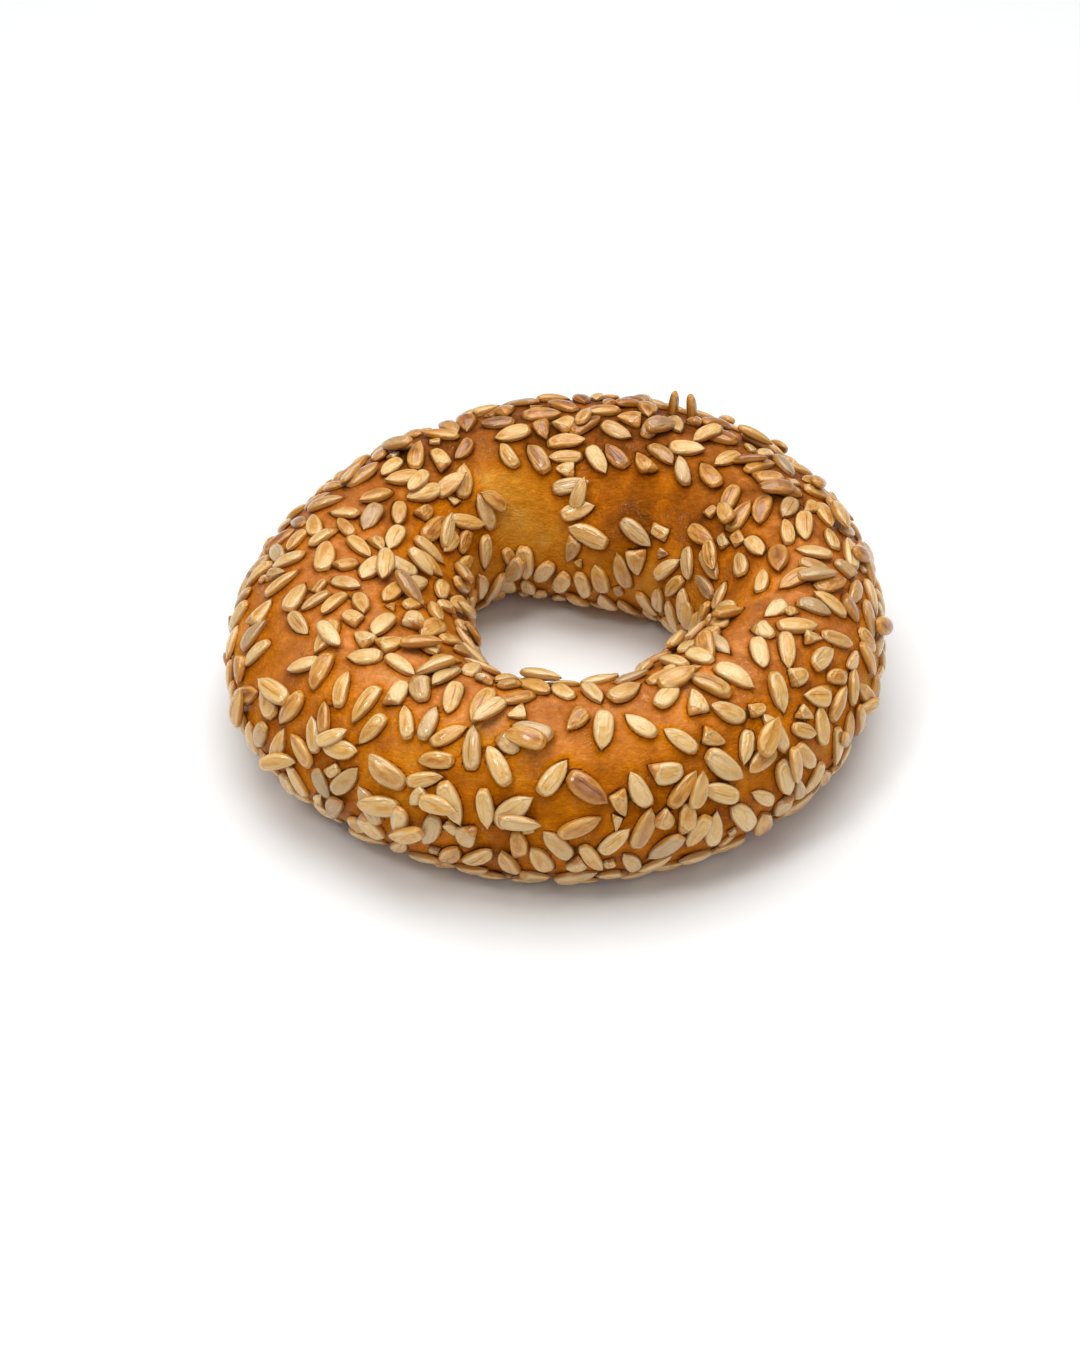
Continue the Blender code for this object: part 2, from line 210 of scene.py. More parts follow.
def place_camera():
    angle = math.radians(VIEW_ANGLE)
    aim = Vector((RING_CENTRE[0] + AIM_FROM_RING[0], RING_CENTRE[1] + AIM_FROM_RING[1], 0.0))
    back = Vector((0.0, -math.cos(angle), math.sin(angle)))
    lens = bpy.data.cameras.new("camera")
    lens.lens = FOCAL_LENGTH
    lens.sensor_width = SENSOR_WIDTH
    lens.clip_start = NEAREST_SEEN
    camera = in_scene("camera", lens)
    camera.location = (aim + back * VIEW_DISTANCE) * MM
    camera.rotation_euler = (math.pi / 2.0 - angle, 0.0, 0.0)
    return camera


camera = place_camera()
bpy.context.scene.camera = camera
print("camera at", [round(c, 3) for c in camera.location])

# %% [markdown]
# ## Soft studio light
# A sun lamp would give hard black shadows. Area lamps give soft ones, the softer the larger they are. So
# one very large lamp hangs overhead and a weaker one stands in front. A third is small: its reflection is
# the bright spot on each kernel. White surroundings lift the shadows.

# %% Light
# Name, place and aim in metres, length of a side in metres, power in watts.
LAMPS = (
    ("light_above", (0.0, 0.16, 0.8), (0.0, 0.0, 0.0), 0.8, 7.1),
    ("light_front", (0.2, -0.75, 0.65), (0.0, 0.0, 0.02), 0.6, 1.2),
    ("light_spark", (-0.3, -0.25, 0.6), (0.0, 0.0, 0.02), 0.14, 0.9),
)
WHITE = (1.0, 1.0, 1.0, 1.0)
SURROUNDINGS_STRENGTH = 0.37


def soft_light(name, place, aim, side, power):
    """A square lamp that shines from one place towards another."""
    lamp = bpy.data.lights.new(name, "AREA")
    lamp.size = side
    lamp.energy = power
    light = in_scene(name, lamp)
    light.location = place
    light.rotation_euler = (Vector(aim) - Vector(place)).to_track_quat("-Z", "Y").to_euler()


for lamp in LAMPS:
    soft_light(*lamp)
world = bpy.data.worlds.new("surroundings")
world.use_nodes = True
background = world.node_tree.nodes["Background"]
Graph(world.node_tree).feed(background, {"Color": WHITE, "Strength": SURROUNDINGS_STRENGTH})
bpy.context.scene.world = world
bpy.context.scene.view_settings.view_transform = "Standard"
print("lamps:", len(bpy.data.lights))

# %% [markdown]
# ## The floor
# The bread lies on a plain pale floor, which catches its shadow. One large square is enough. It is marked
# as stage, which means that it isn't part of the bread.

# %% Floor
FLOOR_HALF_SIDE = 3.0  # metres
FLOOR_COLOUR = (0.84, 0.85, 0.85, 1.0)
FLOOR_ROUGHNESS = 0.6


def new_material(name):
    """A material with its Principled shader, and the graph of its nodes."""
    material = bpy.data.materials.new(name)
    material.use_nodes = True
    return material, material.node_tree.nodes["Principled BSDF"], Graph(material.node_tree)


def pale_floor():
    mesh = bpy.data.meshes.new("floor")
    form = bmesh.new()
    bmesh.ops.create_grid(form, x_segments=1, y_segments=1, size=FLOOR_HALF_SIDE)
    form.to_mesh(mesh)
    form.free()
    paint, shader, graph = new_material("floor_paint")
    graph.feed(shader, {"Base Color": FLOOR_COLOUR, "Roughness": FLOOR_ROUGHNESS})
    mesh.materials.append(paint)
    return in_scene("floor", mesh)


floor = pale_floor()
floor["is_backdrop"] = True
print("floor:", [round(side, 1) for side in floor.dimensions], "m")

# %% [markdown]
# ## The form of the dough
# The ring could be a torus, but a hand-formed strand is thicker in places, and its hole isn't round. So the
# form is a formula: a tube with a soft, slightly pointed section, whose radius, width and height vary in
# long waves round the ring, with swellings, and a shallow valley where the strand's ends join. One function
# gives any point of the crust from two angles, one round the ring and one round the tube. The kernels are
# placed by the same function, so that they lie on it exactly.

# %% Sizes of the dough
RING_RADIUS = 46.2  # centre of the tube to the middle of the ring, mm, as all sizes of the dough
HALF_WIDTH = 20.5  # of the tube
RISE = 20.0  # from the tube's widest level to its crest
DROP = 17.8  # from the widest level down to the round underside that the sole cuts off
WIDEST_LEVEL = 15.3  # above the resting plane
SQUARENESS = 1.89  # 2 is an ellipse, less is more pointed
SOLE_ANGLE = 60.0  # below the widest level, where the sole cuts the tube on both sides

# Hand shaping: waves round the ring as {waves per turn: (cosine part, sine part)}.
RADIUS_WAVES = {2: (-0.48, 0.29), 3: (0.93, 0.98)}
WIDTH_WAVES = {1: (-1.34, 2.18), 2: (0.0, 1.56), 3: (-1.94, -1.58)}
RISE_WAVES = {1: (0.49, 1.57), 2: (-1.17, 0.44)}
# Swellings into the hole and on the outer side: the middle and the reach round the ring (degrees), then mm.
HOLE_BULGES = ((20.0, 23.0, 5.0), (80.0, 26.0, 1.0), (146.0, 30.0, 2.8), (194.0, 16.0, -1.8))
OUTER_BULGES = ((278.0, 44.0, 1.3), (214.0, 26.0, 1.1))
# The join of the dough strand: its angle, its reach (degrees) and its depth.
JOIN_ANGLE = 117.0
JOIN_SPREAD = 5.0
JOIN_DEPTH = 1.1


def waves(mean, parts, ring_angle):
    """A size that varies smoothly round the ring."""
    total = mean
    for count, (cosine, sine) in parts.items():
        total += cosine * math.cos(count * ring_angle) + sine * math.sin(count * ring_angle)
    return total


around = [waves(RING_RADIUS, RADIUS_WAVES, math.radians(angle)) for angle in range(360)]
print("tube's centre from the middle:", round(min(around), 1), "to", round(max(around), 1), "mm")

# %% Hills round the ring
def turn_between(angle, other):
    """The turn from one angle to another in degrees, never more than half a circle."""
    return (angle - other + 180.0) % 360.0 - 180.0


def hill(away, reach):
    """1 at the middle, falling smoothly to nearly 0 beyond the reach."""
    return math.exp(-((away / reach) ** 2))


def hill_round(angle, middle, reach):
    """A hill at one place round the ring, all in degrees."""
    return hill(turn_between(angle, middle), reach)


def softened(value, power):
    """A power that keeps the sign, which turns an ellipse into a squarer or a more pointed oval."""
    return math.copysign(abs(value) ** power, value)


beside_join = hill_round(JOIN_ANGLE + JOIN_SPREAD, JOIN_ANGLE, JOIN_SPREAD)
print("the join, one reach from its middle:", round(beside_join, 2), "of its depth")

# %% One point of the crust
FRAME_STEP = 0.002  # radians between the points that give the directions of the surface


def crust_point(ring_angle, tube_angle):
    """A point of the dough's surface in metres, without the kernels. Its angles are in radians."""
    ring_degrees = math.degrees(ring_angle)
    power = 2.0 / SQUARENESS
    dip = JOIN_DEPTH * hill_round(ring_degrees, JOIN_ANGLE, JOIN_SPREAD)
    bulges = OUTER_BULGES if math.cos(tube_angle) > 0.0 else HOLE_BULGES
    half_width = waves(HALF_WIDTH, WIDTH_WAVES, ring_angle) - dip
    half_width += sum(depth * hill_round(ring_degrees, middle, reach) for middle, reach, depth in bulges)
    height = waves(RISE, RISE_WAVES, ring_angle) - dip if math.sin(tube_angle) > 0.0 else DROP
    out = waves(RING_RADIUS, RADIUS_WAVES, ring_angle) + half_width * softened(math.cos(tube_angle), power)
    up = WIDEST_LEVEL + height * softened(math.sin(tube_angle), power)
    x = RING_CENTRE[0] + out * math.cos(ring_angle)
    y = RING_CENTRE[1] + out * math.sin(ring_angle)
    return Vector((x, y, max(up, 0.0))) * MM


def crust_frame(ring_angle, tube_angle):
    """The surface point with its directions up the tube, along the ring, and out of the crust."""
    step = FRAME_STEP
    up = crust_point(ring_angle, tube_angle + step) - crust_point(ring_angle, tube_angle - step)
    along = crust_point(ring_angle + step, tube_angle) - crust_point(ring_angle - step, tube_angle)
    out = along.cross(up).normalized()
    up = (up - out * up.dot(out)).normalized()
    return crust_point(ring_angle, tube_angle), up, out.cross(up), out


print("crest at the front:", round(crust_point(-math.pi / 2, math.pi / 2).z / MM, 1), "mm high")

# %% [markdown]
# ## How large the kernels are
# Hulled sunflower kernels are sorted by size, so most are alike: near 8.5 mm long, half as wide, a third as
# thick. Some break in the bag, and small chips come with them. Sizes could be scaled at random in the
# scene. Drawing them here as plain numbers, from a fixed seed, lets us place the largest first.

# %% Sizes of the kernels
# Lengths are in millimetres, widths and thicknesses are shares of the length.
DRAW_SEED = 29
KERNELS = 500  # whole ones
BROKEN = 140
CHIPS = 70
KERNEL_LENGTH = (6.8, 9.9)
USUAL_LENGTH = 8.5
KERNEL_WIDTH = (0.45, 0.58)
KERNEL_THICKNESS = (0.27, 0.32)
BROKEN_KEPT = (0.5, 0.8)  # what is left of a broken kernel's length
CHIP_KEPT = (0.25, 0.45)
CHIP_STRETCH = (0.1, 0.9)  # the part of a kernel that chips come from
CHIP_GIRTH = 0.6  # a chip is thinner by this


def whole_size(draw):
    """The length, width and thickness of a whole kernel, in millimetres."""
    length = draw.triangular(*KERNEL_LENGTH, USUAL_LENGTH)
    return length, length * draw.uniform(*KERNEL_WIDTH), length * draw.uniform(*KERNEL_THICKNESS)


probe = random.Random(DRAW_SEED)
print("a kernel's length, width and thickness:", [round(side, 1) for side in whole_size(probe)], "mm")

# %% All sizes, largest first
def kept_share(size):
    """What is left of a kernel's length, as a share of it."""
    first, last = size[3:]
    return last - first


def draw_sizes(draw):
    """Kernel sizes, largest first: (length, width, thickness, first and last cut along the kernel)."""
    sizes = []
    for _ in range(KERNELS):
        sizes.append(whole_size(draw) + (0.0, 1.0))
    for _ in range(BROKEN):
        length, width, thickness = whole_size(draw)
        kept = draw.uniform(*BROKEN_KEPT)
        first = draw.choice((0.0, 1.0 - kept))
        sizes.append((length, width, thickness, first, first + kept))
    for _ in range(CHIPS):
        length, width, thickness = whole_size(draw)
        kept = draw.uniform(*CHIP_KEPT)
        first = draw.uniform(CHIP_STRETCH[0], CHIP_STRETCH[1] - kept)
        sizes.append((length, width * CHIP_GIRTH, thickness * CHIP_GIRTH, first, first + kept))
    return sorted(sizes, key=lambda size: -size[0] * kept_share(size))


sizes = draw_sizes(random.Random(DRAW_SEED))
print("longest and shortest:", [round(sizes[n][0] * kept_share(sizes[n]), 1) for n in (0, -1)], "mm")

# %% [markdown]
# ## Bare and dense patches
# The dough was rolled in kernels, so they cover it all over, but not evenly: some places stay bare, and
# others, such as the rim of the hole, are crowded. A painted density map would do. Soft-edged ovals, each
# set from two angles and two reaches, are shorter and can be read and changed.

# %% Bare and dense patches
# Angles are in degrees: first round the ring, then round the tube.
TUBE_RANGE = (-52.0, 234.0)  # where kernels lie
USUAL_SHARE = 0.6  # of the kernels drawn for a place, how many stay there
TRIALS = 1000  # draws that only measure
# Patches of bare crust: the two angles of the middle, then the two reaches.
BARE_PATCHES = (
    (116, 128, 7, 34),
    (104, 160, 15, 14),
    (48, 131, 20, 11),
    (280, 47, 10, 9),
    (201, 46, 10, 8),
    (184, 37, 6, 9),
    (218, 104, 8, 10),
    (336, 112, 13, 12),
    (352, 128, 10, 12),
    (292, 66, 7, 5),
    (272, 84, 12, 7),
    (60, 136, 26, 12),
    (110, 140, 11, 22),
    (326, 99, 8, 9),
    (343, 124, 10, 9),
)
# Patches where every kernel that finds room stays, written in the same way.
DENSE_PATCHES = (
    (272, 108, 52, 15),
    (188, 125, 34, 26),
    (150, 112, 24, 40),
    (132, 132, 9, 34),
    (86, 200, 62, 26),
    (24, 74, 26, 24),
    (16, 172, 34, 32),
    (312, 118, 26, 22),
    (205, 165, 50, 40),
    (222, -14, 34, 24),
    (332, 0, 30, 26),
    (268, -30, 40, 18),
    (262, 10, 66, 26),
)
print("patches:", len(BARE_PATCHES), "bare,", len(DENSE_PATCHES), "dense")

# %% The share of kernels that stays
def in_patch(ring_angle, tube_angle, patch):
    """Whether a place on the crust is in a patch."""
    ring_place, tube_place, ring_reach, tube_reach = patch
    across = turn_between(ring_angle, ring_place) / ring_reach
    upwards = (tube_angle - tube_place) / tube_reach
    return across * across + upwards * upwards < 1.0


def patch_share(ring_angle, tube_angle):
    """The share of kernels that stays at this place, from 0 on bare crust to 1."""
    if any(in_patch(ring_angle, tube_angle, patch) for patch in BARE_PATCHES):
        return 0.0
    if any(in_patch(ring_angle, tube_angle, patch) for patch in DENSE_PATCHES):
        return 1.0
    return USUAL_SHARE


probe = random.Random(DRAW_SEED)
shares = [patch_share(probe.uniform(0.0, 360.0), probe.uniform(*TUBE_RANGE)) for _ in range(TRIALS)]
print("bare:", shares.count(0.0) / TRIALS, "dense:", shares.count(1.0) / TRIALS)

# %% [markdown]
# ## How a kernel beds down
# Rolling turns the kernels with the crust: along the ring at the foot, mostly upright on the walls, and any
# way on the crest. None lies quite flat. Blender can scatter points on a surface by itself, but it can't
# keep kernels of different lengths and turns from cutting through each other. So each place is drawn in
# Python, as a matrix that carries a kernel from the origin to its bed.

# %% A bed for one kernel
LIES = ((-26.0, 90.0, 32.0), (15.0, 0.0, 50.0), (160.0, 0.0, 90.0), (360.0, 0.0, 26.0))  # up to, turn, spread
LEAN = 8.0  # degrees at most, end over end
ROLL = 13.0  # degrees at most, side over side


def lie(draw, tube_angle):
    """The turn of a kernel from straight up the tube, in degrees."""
    turn = draw.uniform(-1.0, 1.0)
    for end_angle, middle, spread in LIES:
        if tube_angle < end_angle:
            return middle + spread * turn


def bedded_place(draw):
    """A random place for one kernel as a matrix, or None where the crust stays bare."""
    ring_angle = draw.uniform(0.0, 360.0)
    tube_angle = draw.uniform(*TUBE_RANGE)
    turn = lie(draw, tube_angle)
    lean, roll, keep, room = (draw.uniform(-1.0, 1.0) for _ in range(4))
    flip = draw.choice((0.0, 180.0))
    reach = RING_RADIUS + HALF_WIDTH * math.cos(math.radians(tube_angle))
    if (keep + 1.0) / 2.0 > patch_share(ring_angle, tube_angle):
        return None
    if (room + 1.0) / 2.0 > reach / (RING_RADIUS + HALF_WIDTH):
        return None
    place, up, along, out = crust_frame(math.radians(ring_angle), math.radians(tube_angle))
    base = Matrix((up, along, out)).transposed()
    base = base @ Matrix.Rotation(math.radians(turn + flip), 3, "Z")
    base = base @ Matrix.Rotation(math.radians(lean * LEAN), 3, "Y")
    base = base @ Matrix.Rotation(math.radians(roll * ROLL), 3, "X")
    return Matrix.Translation(place) @ base.to_4x4()


probe = random.Random(DRAW_SEED)
beds = [bedded_place(probe) for _ in range(TRIALS)]
print("of", TRIALS, "draws", sum(bed is not None for bed in beds), "give a bed")

# %% [markdown]
# ## Standing and riding kernels
# A few kernels don't lie in the crust. Two stand on end at the back crest, and where the cover is dense
# some ride on another kernel with one end down. The places of the two that stand are listed one by one.
# Riders are drawn at random from the largest bedded kernels. To keep all of them apart without slow mesh
# tests, three balls stand for each kernel's outline.

# %% Room round a kernel
BALLS = ((-0.29, 0.43), (0.0, 0.5), (0.30, 0.33))  # place along a kernel, and radius by its width
WHOLE_ABOVE = 0.9  # a kernel that keeps more than this of its length counts as whole
BROKEN_ROOM = 0.8  # a broken kernel's balls are smaller by this
CORNER_SHARE = 0.9  # how far a rounded kernel reaches into its box's corners


def is_whole(size):
    return kept_share(size) > WHOLE_ABOVE


def kernel_balls(matrix, size):
    """Three balls along a kernel, each as its centre and its radius, in metres."""
    balls = []
    for share, girth in BALLS:
        radius = size[1] * girth * (1.0 if is_whole(size) else BROKEN_ROOM)
        centre = matrix @ Vector((share * size[0] * kept_share(size) * MM, 0.0, 0.0))
        balls.append((*centre, radius * MM))
    return balls


def lowest(matrix, size):
    """The height of the kernel's lowest point, whose corners are rounded off."""
    length, width, thickness, first, last = size
    half = ((last - first) * length / 2.0, width / 2.0, thickness / 2.0)
    fall = sum(abs(matrix[2][axis]) * half[axis] * MM for axis in range(3))
    return matrix.translation.z - fall * CORNER_SHARE


ball_span = kernel_balls(Matrix.Identity(4), sizes[0])
print("balls of the largest kernel:", [round(ball[3] / MM, 2) for ball in ball_span], "mm")

# %% Standing kernels
STANDING = ((66.0, 66.0, 6.0), (62.0, 63.0, -5.0))  # the two angles on the crust, and the lean
STANDING_SIZE = (9.0, 3.4, 2.4, 0.0, 1.0)  # length, width, thickness, first and last cut
STANDING_LIFT = 1.5  # mm
STANDING_ROOM = 1.6  # kept free round them, mm


def stand_up(ring_angle, tube_angle, lean):
    """A kernel that stands on its tip in the crust, edge on to the front."""
    place, _, along, _ = crust_frame(math.radians(ring_angle), math.radians(tube_angle))
    down = Vector((0.0, 0.0, -1.0))
    base = Matrix((down, along.cross(down), along)).transposed()
    base = base @ Matrix.Rotation(math.radians(lean), 3, "Y")
    place.z += STANDING_LIFT * MM
    return Matrix.Translation(place) @ base.to_4x4(), STANDING_SIZE


print("standing at", [round(c / MM, 1) for c in stand_up(*STANDING[0])[0].translation], "mm")

# %% Riding kernels
RIDERS = 64
HOSTS = 240  # only this many, the largest, can carry another
RIDING_SLOPE = -0.15  # a host faces up by this at least: 1 is straight up, and 0 is sideways
RIDERS_APART = 7.0  # mm
LONE_RIDERS = 0.3  # of those drawn outside the dense patches, how many stay
RIDER_TURN = 70.0  # degrees at most
RIDER_SHIFT = 0.25  # at most, along the host, as a share of the rider's length
RIDER_TILT = (12.0, 22.0)  # degrees


def angles_of(matrix):
    """About where on the crust a kernel lies: its angles round the ring and round the tube, in degrees."""
    x, y, z = matrix.translation / MM
    x -= RING_CENTRE[0]
    y -= RING_CENTRE[1]
    tube_angle = math.atan2(z - WIDEST_LEVEL, math.hypot(x, y) - RING_RADIUS)
    return math.degrees(math.atan2(y, x)), math.degrees(tube_angle) % 360.0


def ride_on(host, draw):
    """A kernel that lies half on the host kernel, with one end down on the crust."""
    matrix, _ = host
    length, width, thickness = whole_size(draw)
    side = draw.choice((-1.0, 1.0))
    turn = Matrix.Rotation(math.radians(draw.uniform(-RIDER_TURN, RIDER_TURN)), 4, "Z")
    shift = draw.uniform(-RIDER_SHIFT, RIDER_SHIFT) * length
    offset = Matrix.Translation(Vector((shift, side * 0.5 * width, 0.5 * thickness)) * MM)
    tilt = Matrix.Rotation(math.radians(-side * draw.uniform(*RIDER_TILT)), 4, "X")
    return matrix @ offset @ tilt @ turn, (length, width, thickness, 0.0, 1.0)


probe = random.Random(DRAW_SEED)
flat_host = (Matrix.Identity(4), sizes[0])
heights = [ride_on(flat_host, probe)[0].translation.z / MM for _ in range(TRIALS)]
print("riders lie", round(min(heights), 1), "to", round(max(heights), 1), "mm above their hosts")

# %% [markdown]
# ## The scatter
# Kernels are bedded like stones in a path: each is drawn again and again until it finds room, the largest
# first, so that the small ones fill what is left. A physics drop would pack them as well, but would take
# minutes and wouldn't keep the patches. The same draws placed the humps on the plain solid, so their order
# matters.

# %% Bedding them one by one
CROWDING = 0.88  # spacing of neighbours, where 1 is just touching
TRIES = 500
FLOOR_GAP = 0.3  # from the lowest kernels to the resting plane, mm


def bed_kernels(draw, taken):
    """Puts each kernel where it finds room, away from what is taken."""
    placed = []
    for size in draw_sizes(draw):
        for _ in range(TRIES):
            matrix = bedded_place(draw)
            if matrix is None or lowest(matrix, size) < FLOOR_GAP * MM:
                continue
            balls = np.array(kernel_balls(matrix, size))
            apart = np.linalg.norm(balls[:, None, :3] - taken[None, :, :3], axis=2)
            if (apart > (balls[:, None, 3] + taken[None, :, 3]) * CROWDING).all():
                placed.append((matrix, size))
                taken = np.vstack((taken, balls))
                break
    return placed


print("spacing:", CROWDING, "of touching, tries for each kernel:", TRIES)

# %% Riders and all together
def pick_riders(draw, placed):
    """Kernels that lie on others, most of them in the dense patches."""
    riders = []
    while len(riders) < RIDERS:
        host = placed[draw.randrange(HOSTS)]
        rider = ride_on(host, draw)
        wanted = patch_share(*angles_of(host[0])) == 1.0 or draw.random() < LONE_RIDERS
        carried = host[0].col[2].z > RIDING_SLOPE and lowest(*rider) > FLOOR_GAP * MM
        apart = [(rider[0].translation - other.translation).length for other, _ in riders]
        if wanted and carried and min(apart, default=1.0) > RIDERS_APART * MM:
            riders.append(rider)
    return riders


def scatter():
    """Every kernel as (matrix, size): the standing ones, the riders, then the others, largest first."""
    draw = random.Random(DRAW_SEED)
    standing = [stand_up(*place) for place in STANDING]
    taken = np.array([(*matrix.translation, STANDING_ROOM * MM) for matrix, _ in standing])
    placed = bed_kernels(draw, taken)
    return standing + pick_riders(draw, placed) + placed


kernels = scatter()
print("kernels placed:", len(kernels), "broken:", sum(not is_whole(size) for _, size in kernels))

# %% [markdown]
# ## One kernel
# A hulled sunflower kernel is a flat almond: blunt where it sat on the flower, widest before its middle,
# and drawn out to a small nib, with a soft ridge along each face. It could be sculpted, but a lofted form
# is quicker: a few cross-sections of eight points, closed at both ends. It is made one unit long, wide and
# thick, so that each kernel can have its own size. With only a few dozen faces it can repeat hundreds of
# times, and a Subdivision Surface rounds all of them at once, later.

# %% The kernel's outline
WIDEST_PLACE = 0.40  # along a kernel, from its blunt end
NIB_PLACE = 0.78  # where the outline starts to draw in towards the nib
NIB_LENGTH = 0.12
# Pairs of powers that round an outline off: towards the blunt end, and towards the tip.
BLUNT_GIRTH = (2.8, 0.42)
TIP_GIRTH = (2.3, 0.75)
BLUNT_THICKNESS = (2.6, 0.5)
TIP_THICKNESS = (2.2, 0.8)


def outline_share(along, blunt, tip):
    """A size across a kernel, as a share of its largest, from the blunt end (0) to the tip (1)."""
    if along < WIDEST_PLACE:
        away = (WIDEST_PLACE - along) / WIDEST_PLACE
        inner, outer = blunt
    else:
        away = (along - WIDEST_PLACE) / (1.0 - WIDEST_PLACE)
        inner, outer = tip
    return (1.0 - away ** inner) ** outer


def girth_share(along, fullness=TIP_GIRTH[1]):
    """The width. A smaller second power makes the tip's side fuller."""
    return outline_share(along, BLUNT_GIRTH, (TIP_GIRTH[0], fullness))


def thickness_share(along):
    """The thickness."""
    return outline_share(along, BLUNT_THICKNESS, TIP_THICKNESS)


def nib_share(along, nib):
    """How much of the width is left near the tip, where the kernel runs out in its nib."""
    return 1.0 - nib * min(1.0, max(0.0, (along - NIB_PLACE) / NIB_LENGTH))


for place in (0.1, WIDEST_PLACE, 0.7, 0.9):
    print("at", place, "width", round(girth_share(place), 2), "thickness", round(thickness_share(place), 2))

# %% One cross-section
SIDES = 8
RIDGES = (2, 6)  # the points at the top and at the bottom
FLATNESS = 0.55  # 1 is an oval section, less has flatter faces
DENTS = (-0.14, 0.08)  # how far a point may lie in or out, as a share of the section
SIDEWAYS = 0.05  # how far a section may shift, in the same way
# What makes one kernel differ from the next: each is drawn from its own range.
CHARACTER = {
    "bend": (-0.11, 0.11),
    "fullness": (0.36, 0.85),
    "nib": (0.40, 0.85),
    "twist": (-0.25, 0.25),
    "crown": (0.86, 1.08),
    "lopsided": (-0.14, 0.14),
}


def cross_section(station, along, own, draw):
    """Eight points round a unit kernel, starting at its right side and going over the top."""
    girth = girth_share(along, own["fullness"]) * nib_share(along, own["nib"])
    sideways = draw.uniform(-SIDEWAYS, SIDEWAYS) * girth
    x = station - 0.5
    points = []
    for side in range(SIDES):
        angle = 2.0 * math.pi * side / SIDES
        dent = 0.5 * (1.0 + draw.uniform(*DENTS))
        across = girth * math.cos(angle) * dent
        across *= 1.0 + math.copysign(own["lopsided"], across)
        above = thickness_share(along) * softened(math.sin(angle), FLATNESS) * dent
        if side in RIDGES:
            above *= own["crown"]
        above += across * x * own["twist"]
        across += own["bend"] * (1.0 - 4.0 * x * x) + sideways
        points.append(Vector((x, across, above)))
    return points


probe = random.Random(DRAW_SEED)
plain_kernel = {name: sum(span) / 2.0 for name, span in CHARACTER.items()}
widest = cross_section(WIDEST_PLACE, WIDEST_PLACE, plain_kernel, probe)
print("widest section:", round(max(p.y for p in widest) - min(p.y for p in widest), 2), "of the width")

# %% Broken ends
SLANT = 0.3  # how far a broken end may lean
RAGGED = 0.05  # how rough it is


def slanted(points, slant, draw):
    """The points of a broken end, which isn't square to the kernel."""
    return [point + Vector((slant * point.y + draw.uniform(-RAGGED, RAGGED), 0.0, 0.0)) for point in points]


def closing_faces(form, ring):
    """Three faces that close a ring of eight points."""
    for corners in ((7, 0, 1, 2), (7, 2, 3, 6), (6, 3, 4, 5)):
        form.faces.new([ring[corner] for corner in corners])


print("a broken end leans by up to", round(math.degrees(math.atan(SLANT))), "degrees")

# %% Tips, creases and rims
TIP_CREASE = 0.5  # 1 stays sharp, 0 is rounded
CUT_CREASE = 0.45
END_SHARPNESS = 6.0  # how narrow the rim is at the ends
SIDE_SHARPNESS = 2.0  # and along the sides


def crease_between(form, pairs, amount):
    """Keeps these edges crisp when the kernels are rounded."""
    layer = form.edges.layers.float["crease_edge"]
    for low, high in pairs:
        form.edges.get((low, high))[layer] = amount


def close_tip(form, ring):
    """A fan of faces that ends a ring in one point."""
    middle = sum((vert.co for vert in ring), Vector()) / SIDES
    tip = form.verts.new((0.5, middle.y, middle.z))
    for side in range(SIDES):
        form.faces.new((tip, ring[side], ring[(side + 1) % SIDES]))
    crease_between(form, [(tip, vert) for vert in ring], TIP_CREASE)


def rim_of(vert, side):
    """1 at the rim of a kernel and 0 in the middle of its broad faces."""
    at_end = abs(2.0 * vert.co.x) ** END_SHARPNESS
    return max(at_end, abs(math.cos(2.0 * math.pi * side / SIDES)) ** SIDE_SHARPNESS)


print("creases:", TIP_CREASE, "at a tip,", CUT_CREASE, "round a broken end")

# %% The rings of a form
WHOLE_STATIONS = (0.0, 0.15, 0.48, 0.79, 0.91)
CUT_STATIONS = (0.02, 0.3, 0.7, 0.97)
BLUNT_END = 0.02  # of the outline, what the blunt end's flat leaves out


def section_rings(form, first, last, own, draw):
    """The rings of a kernel's cross-sections, with its broken ends slanted."""
    slant = draw.uniform(-SLANT, SLANT)
    whole = first == 0.0 and last == 1.0
    rings = []
    for station in WHOLE_STATIONS if whole else CUT_STATIONS:
        along = max(BLUNT_END, first + (last - first) * station)
        points = cross_section(station, along, own, draw)
        cut_first = first > 0.0 and station == CUT_STATIONS[0]
        cut_last = last < 1.0 and station == CUT_STATIONS[-1]
        if cut_first or cut_last:
            points = slanted(points, slant, draw)
        rings.append([form.verts.new(point) for point in points])
    return rings


def join_rings(form, rings):
    """The faces between each ring and the next."""
    for low, high in zip(rings, rings[1:]):
        for side in range(SIDES):
            after = (side + 1) % SIDES
            form.faces.new((low[side], low[after], high[after], high[side]))


print("cross-sections:", len(WHOLE_STATIONS), "in a whole kernel,", len(CUT_STATIONS), "in a broken one")

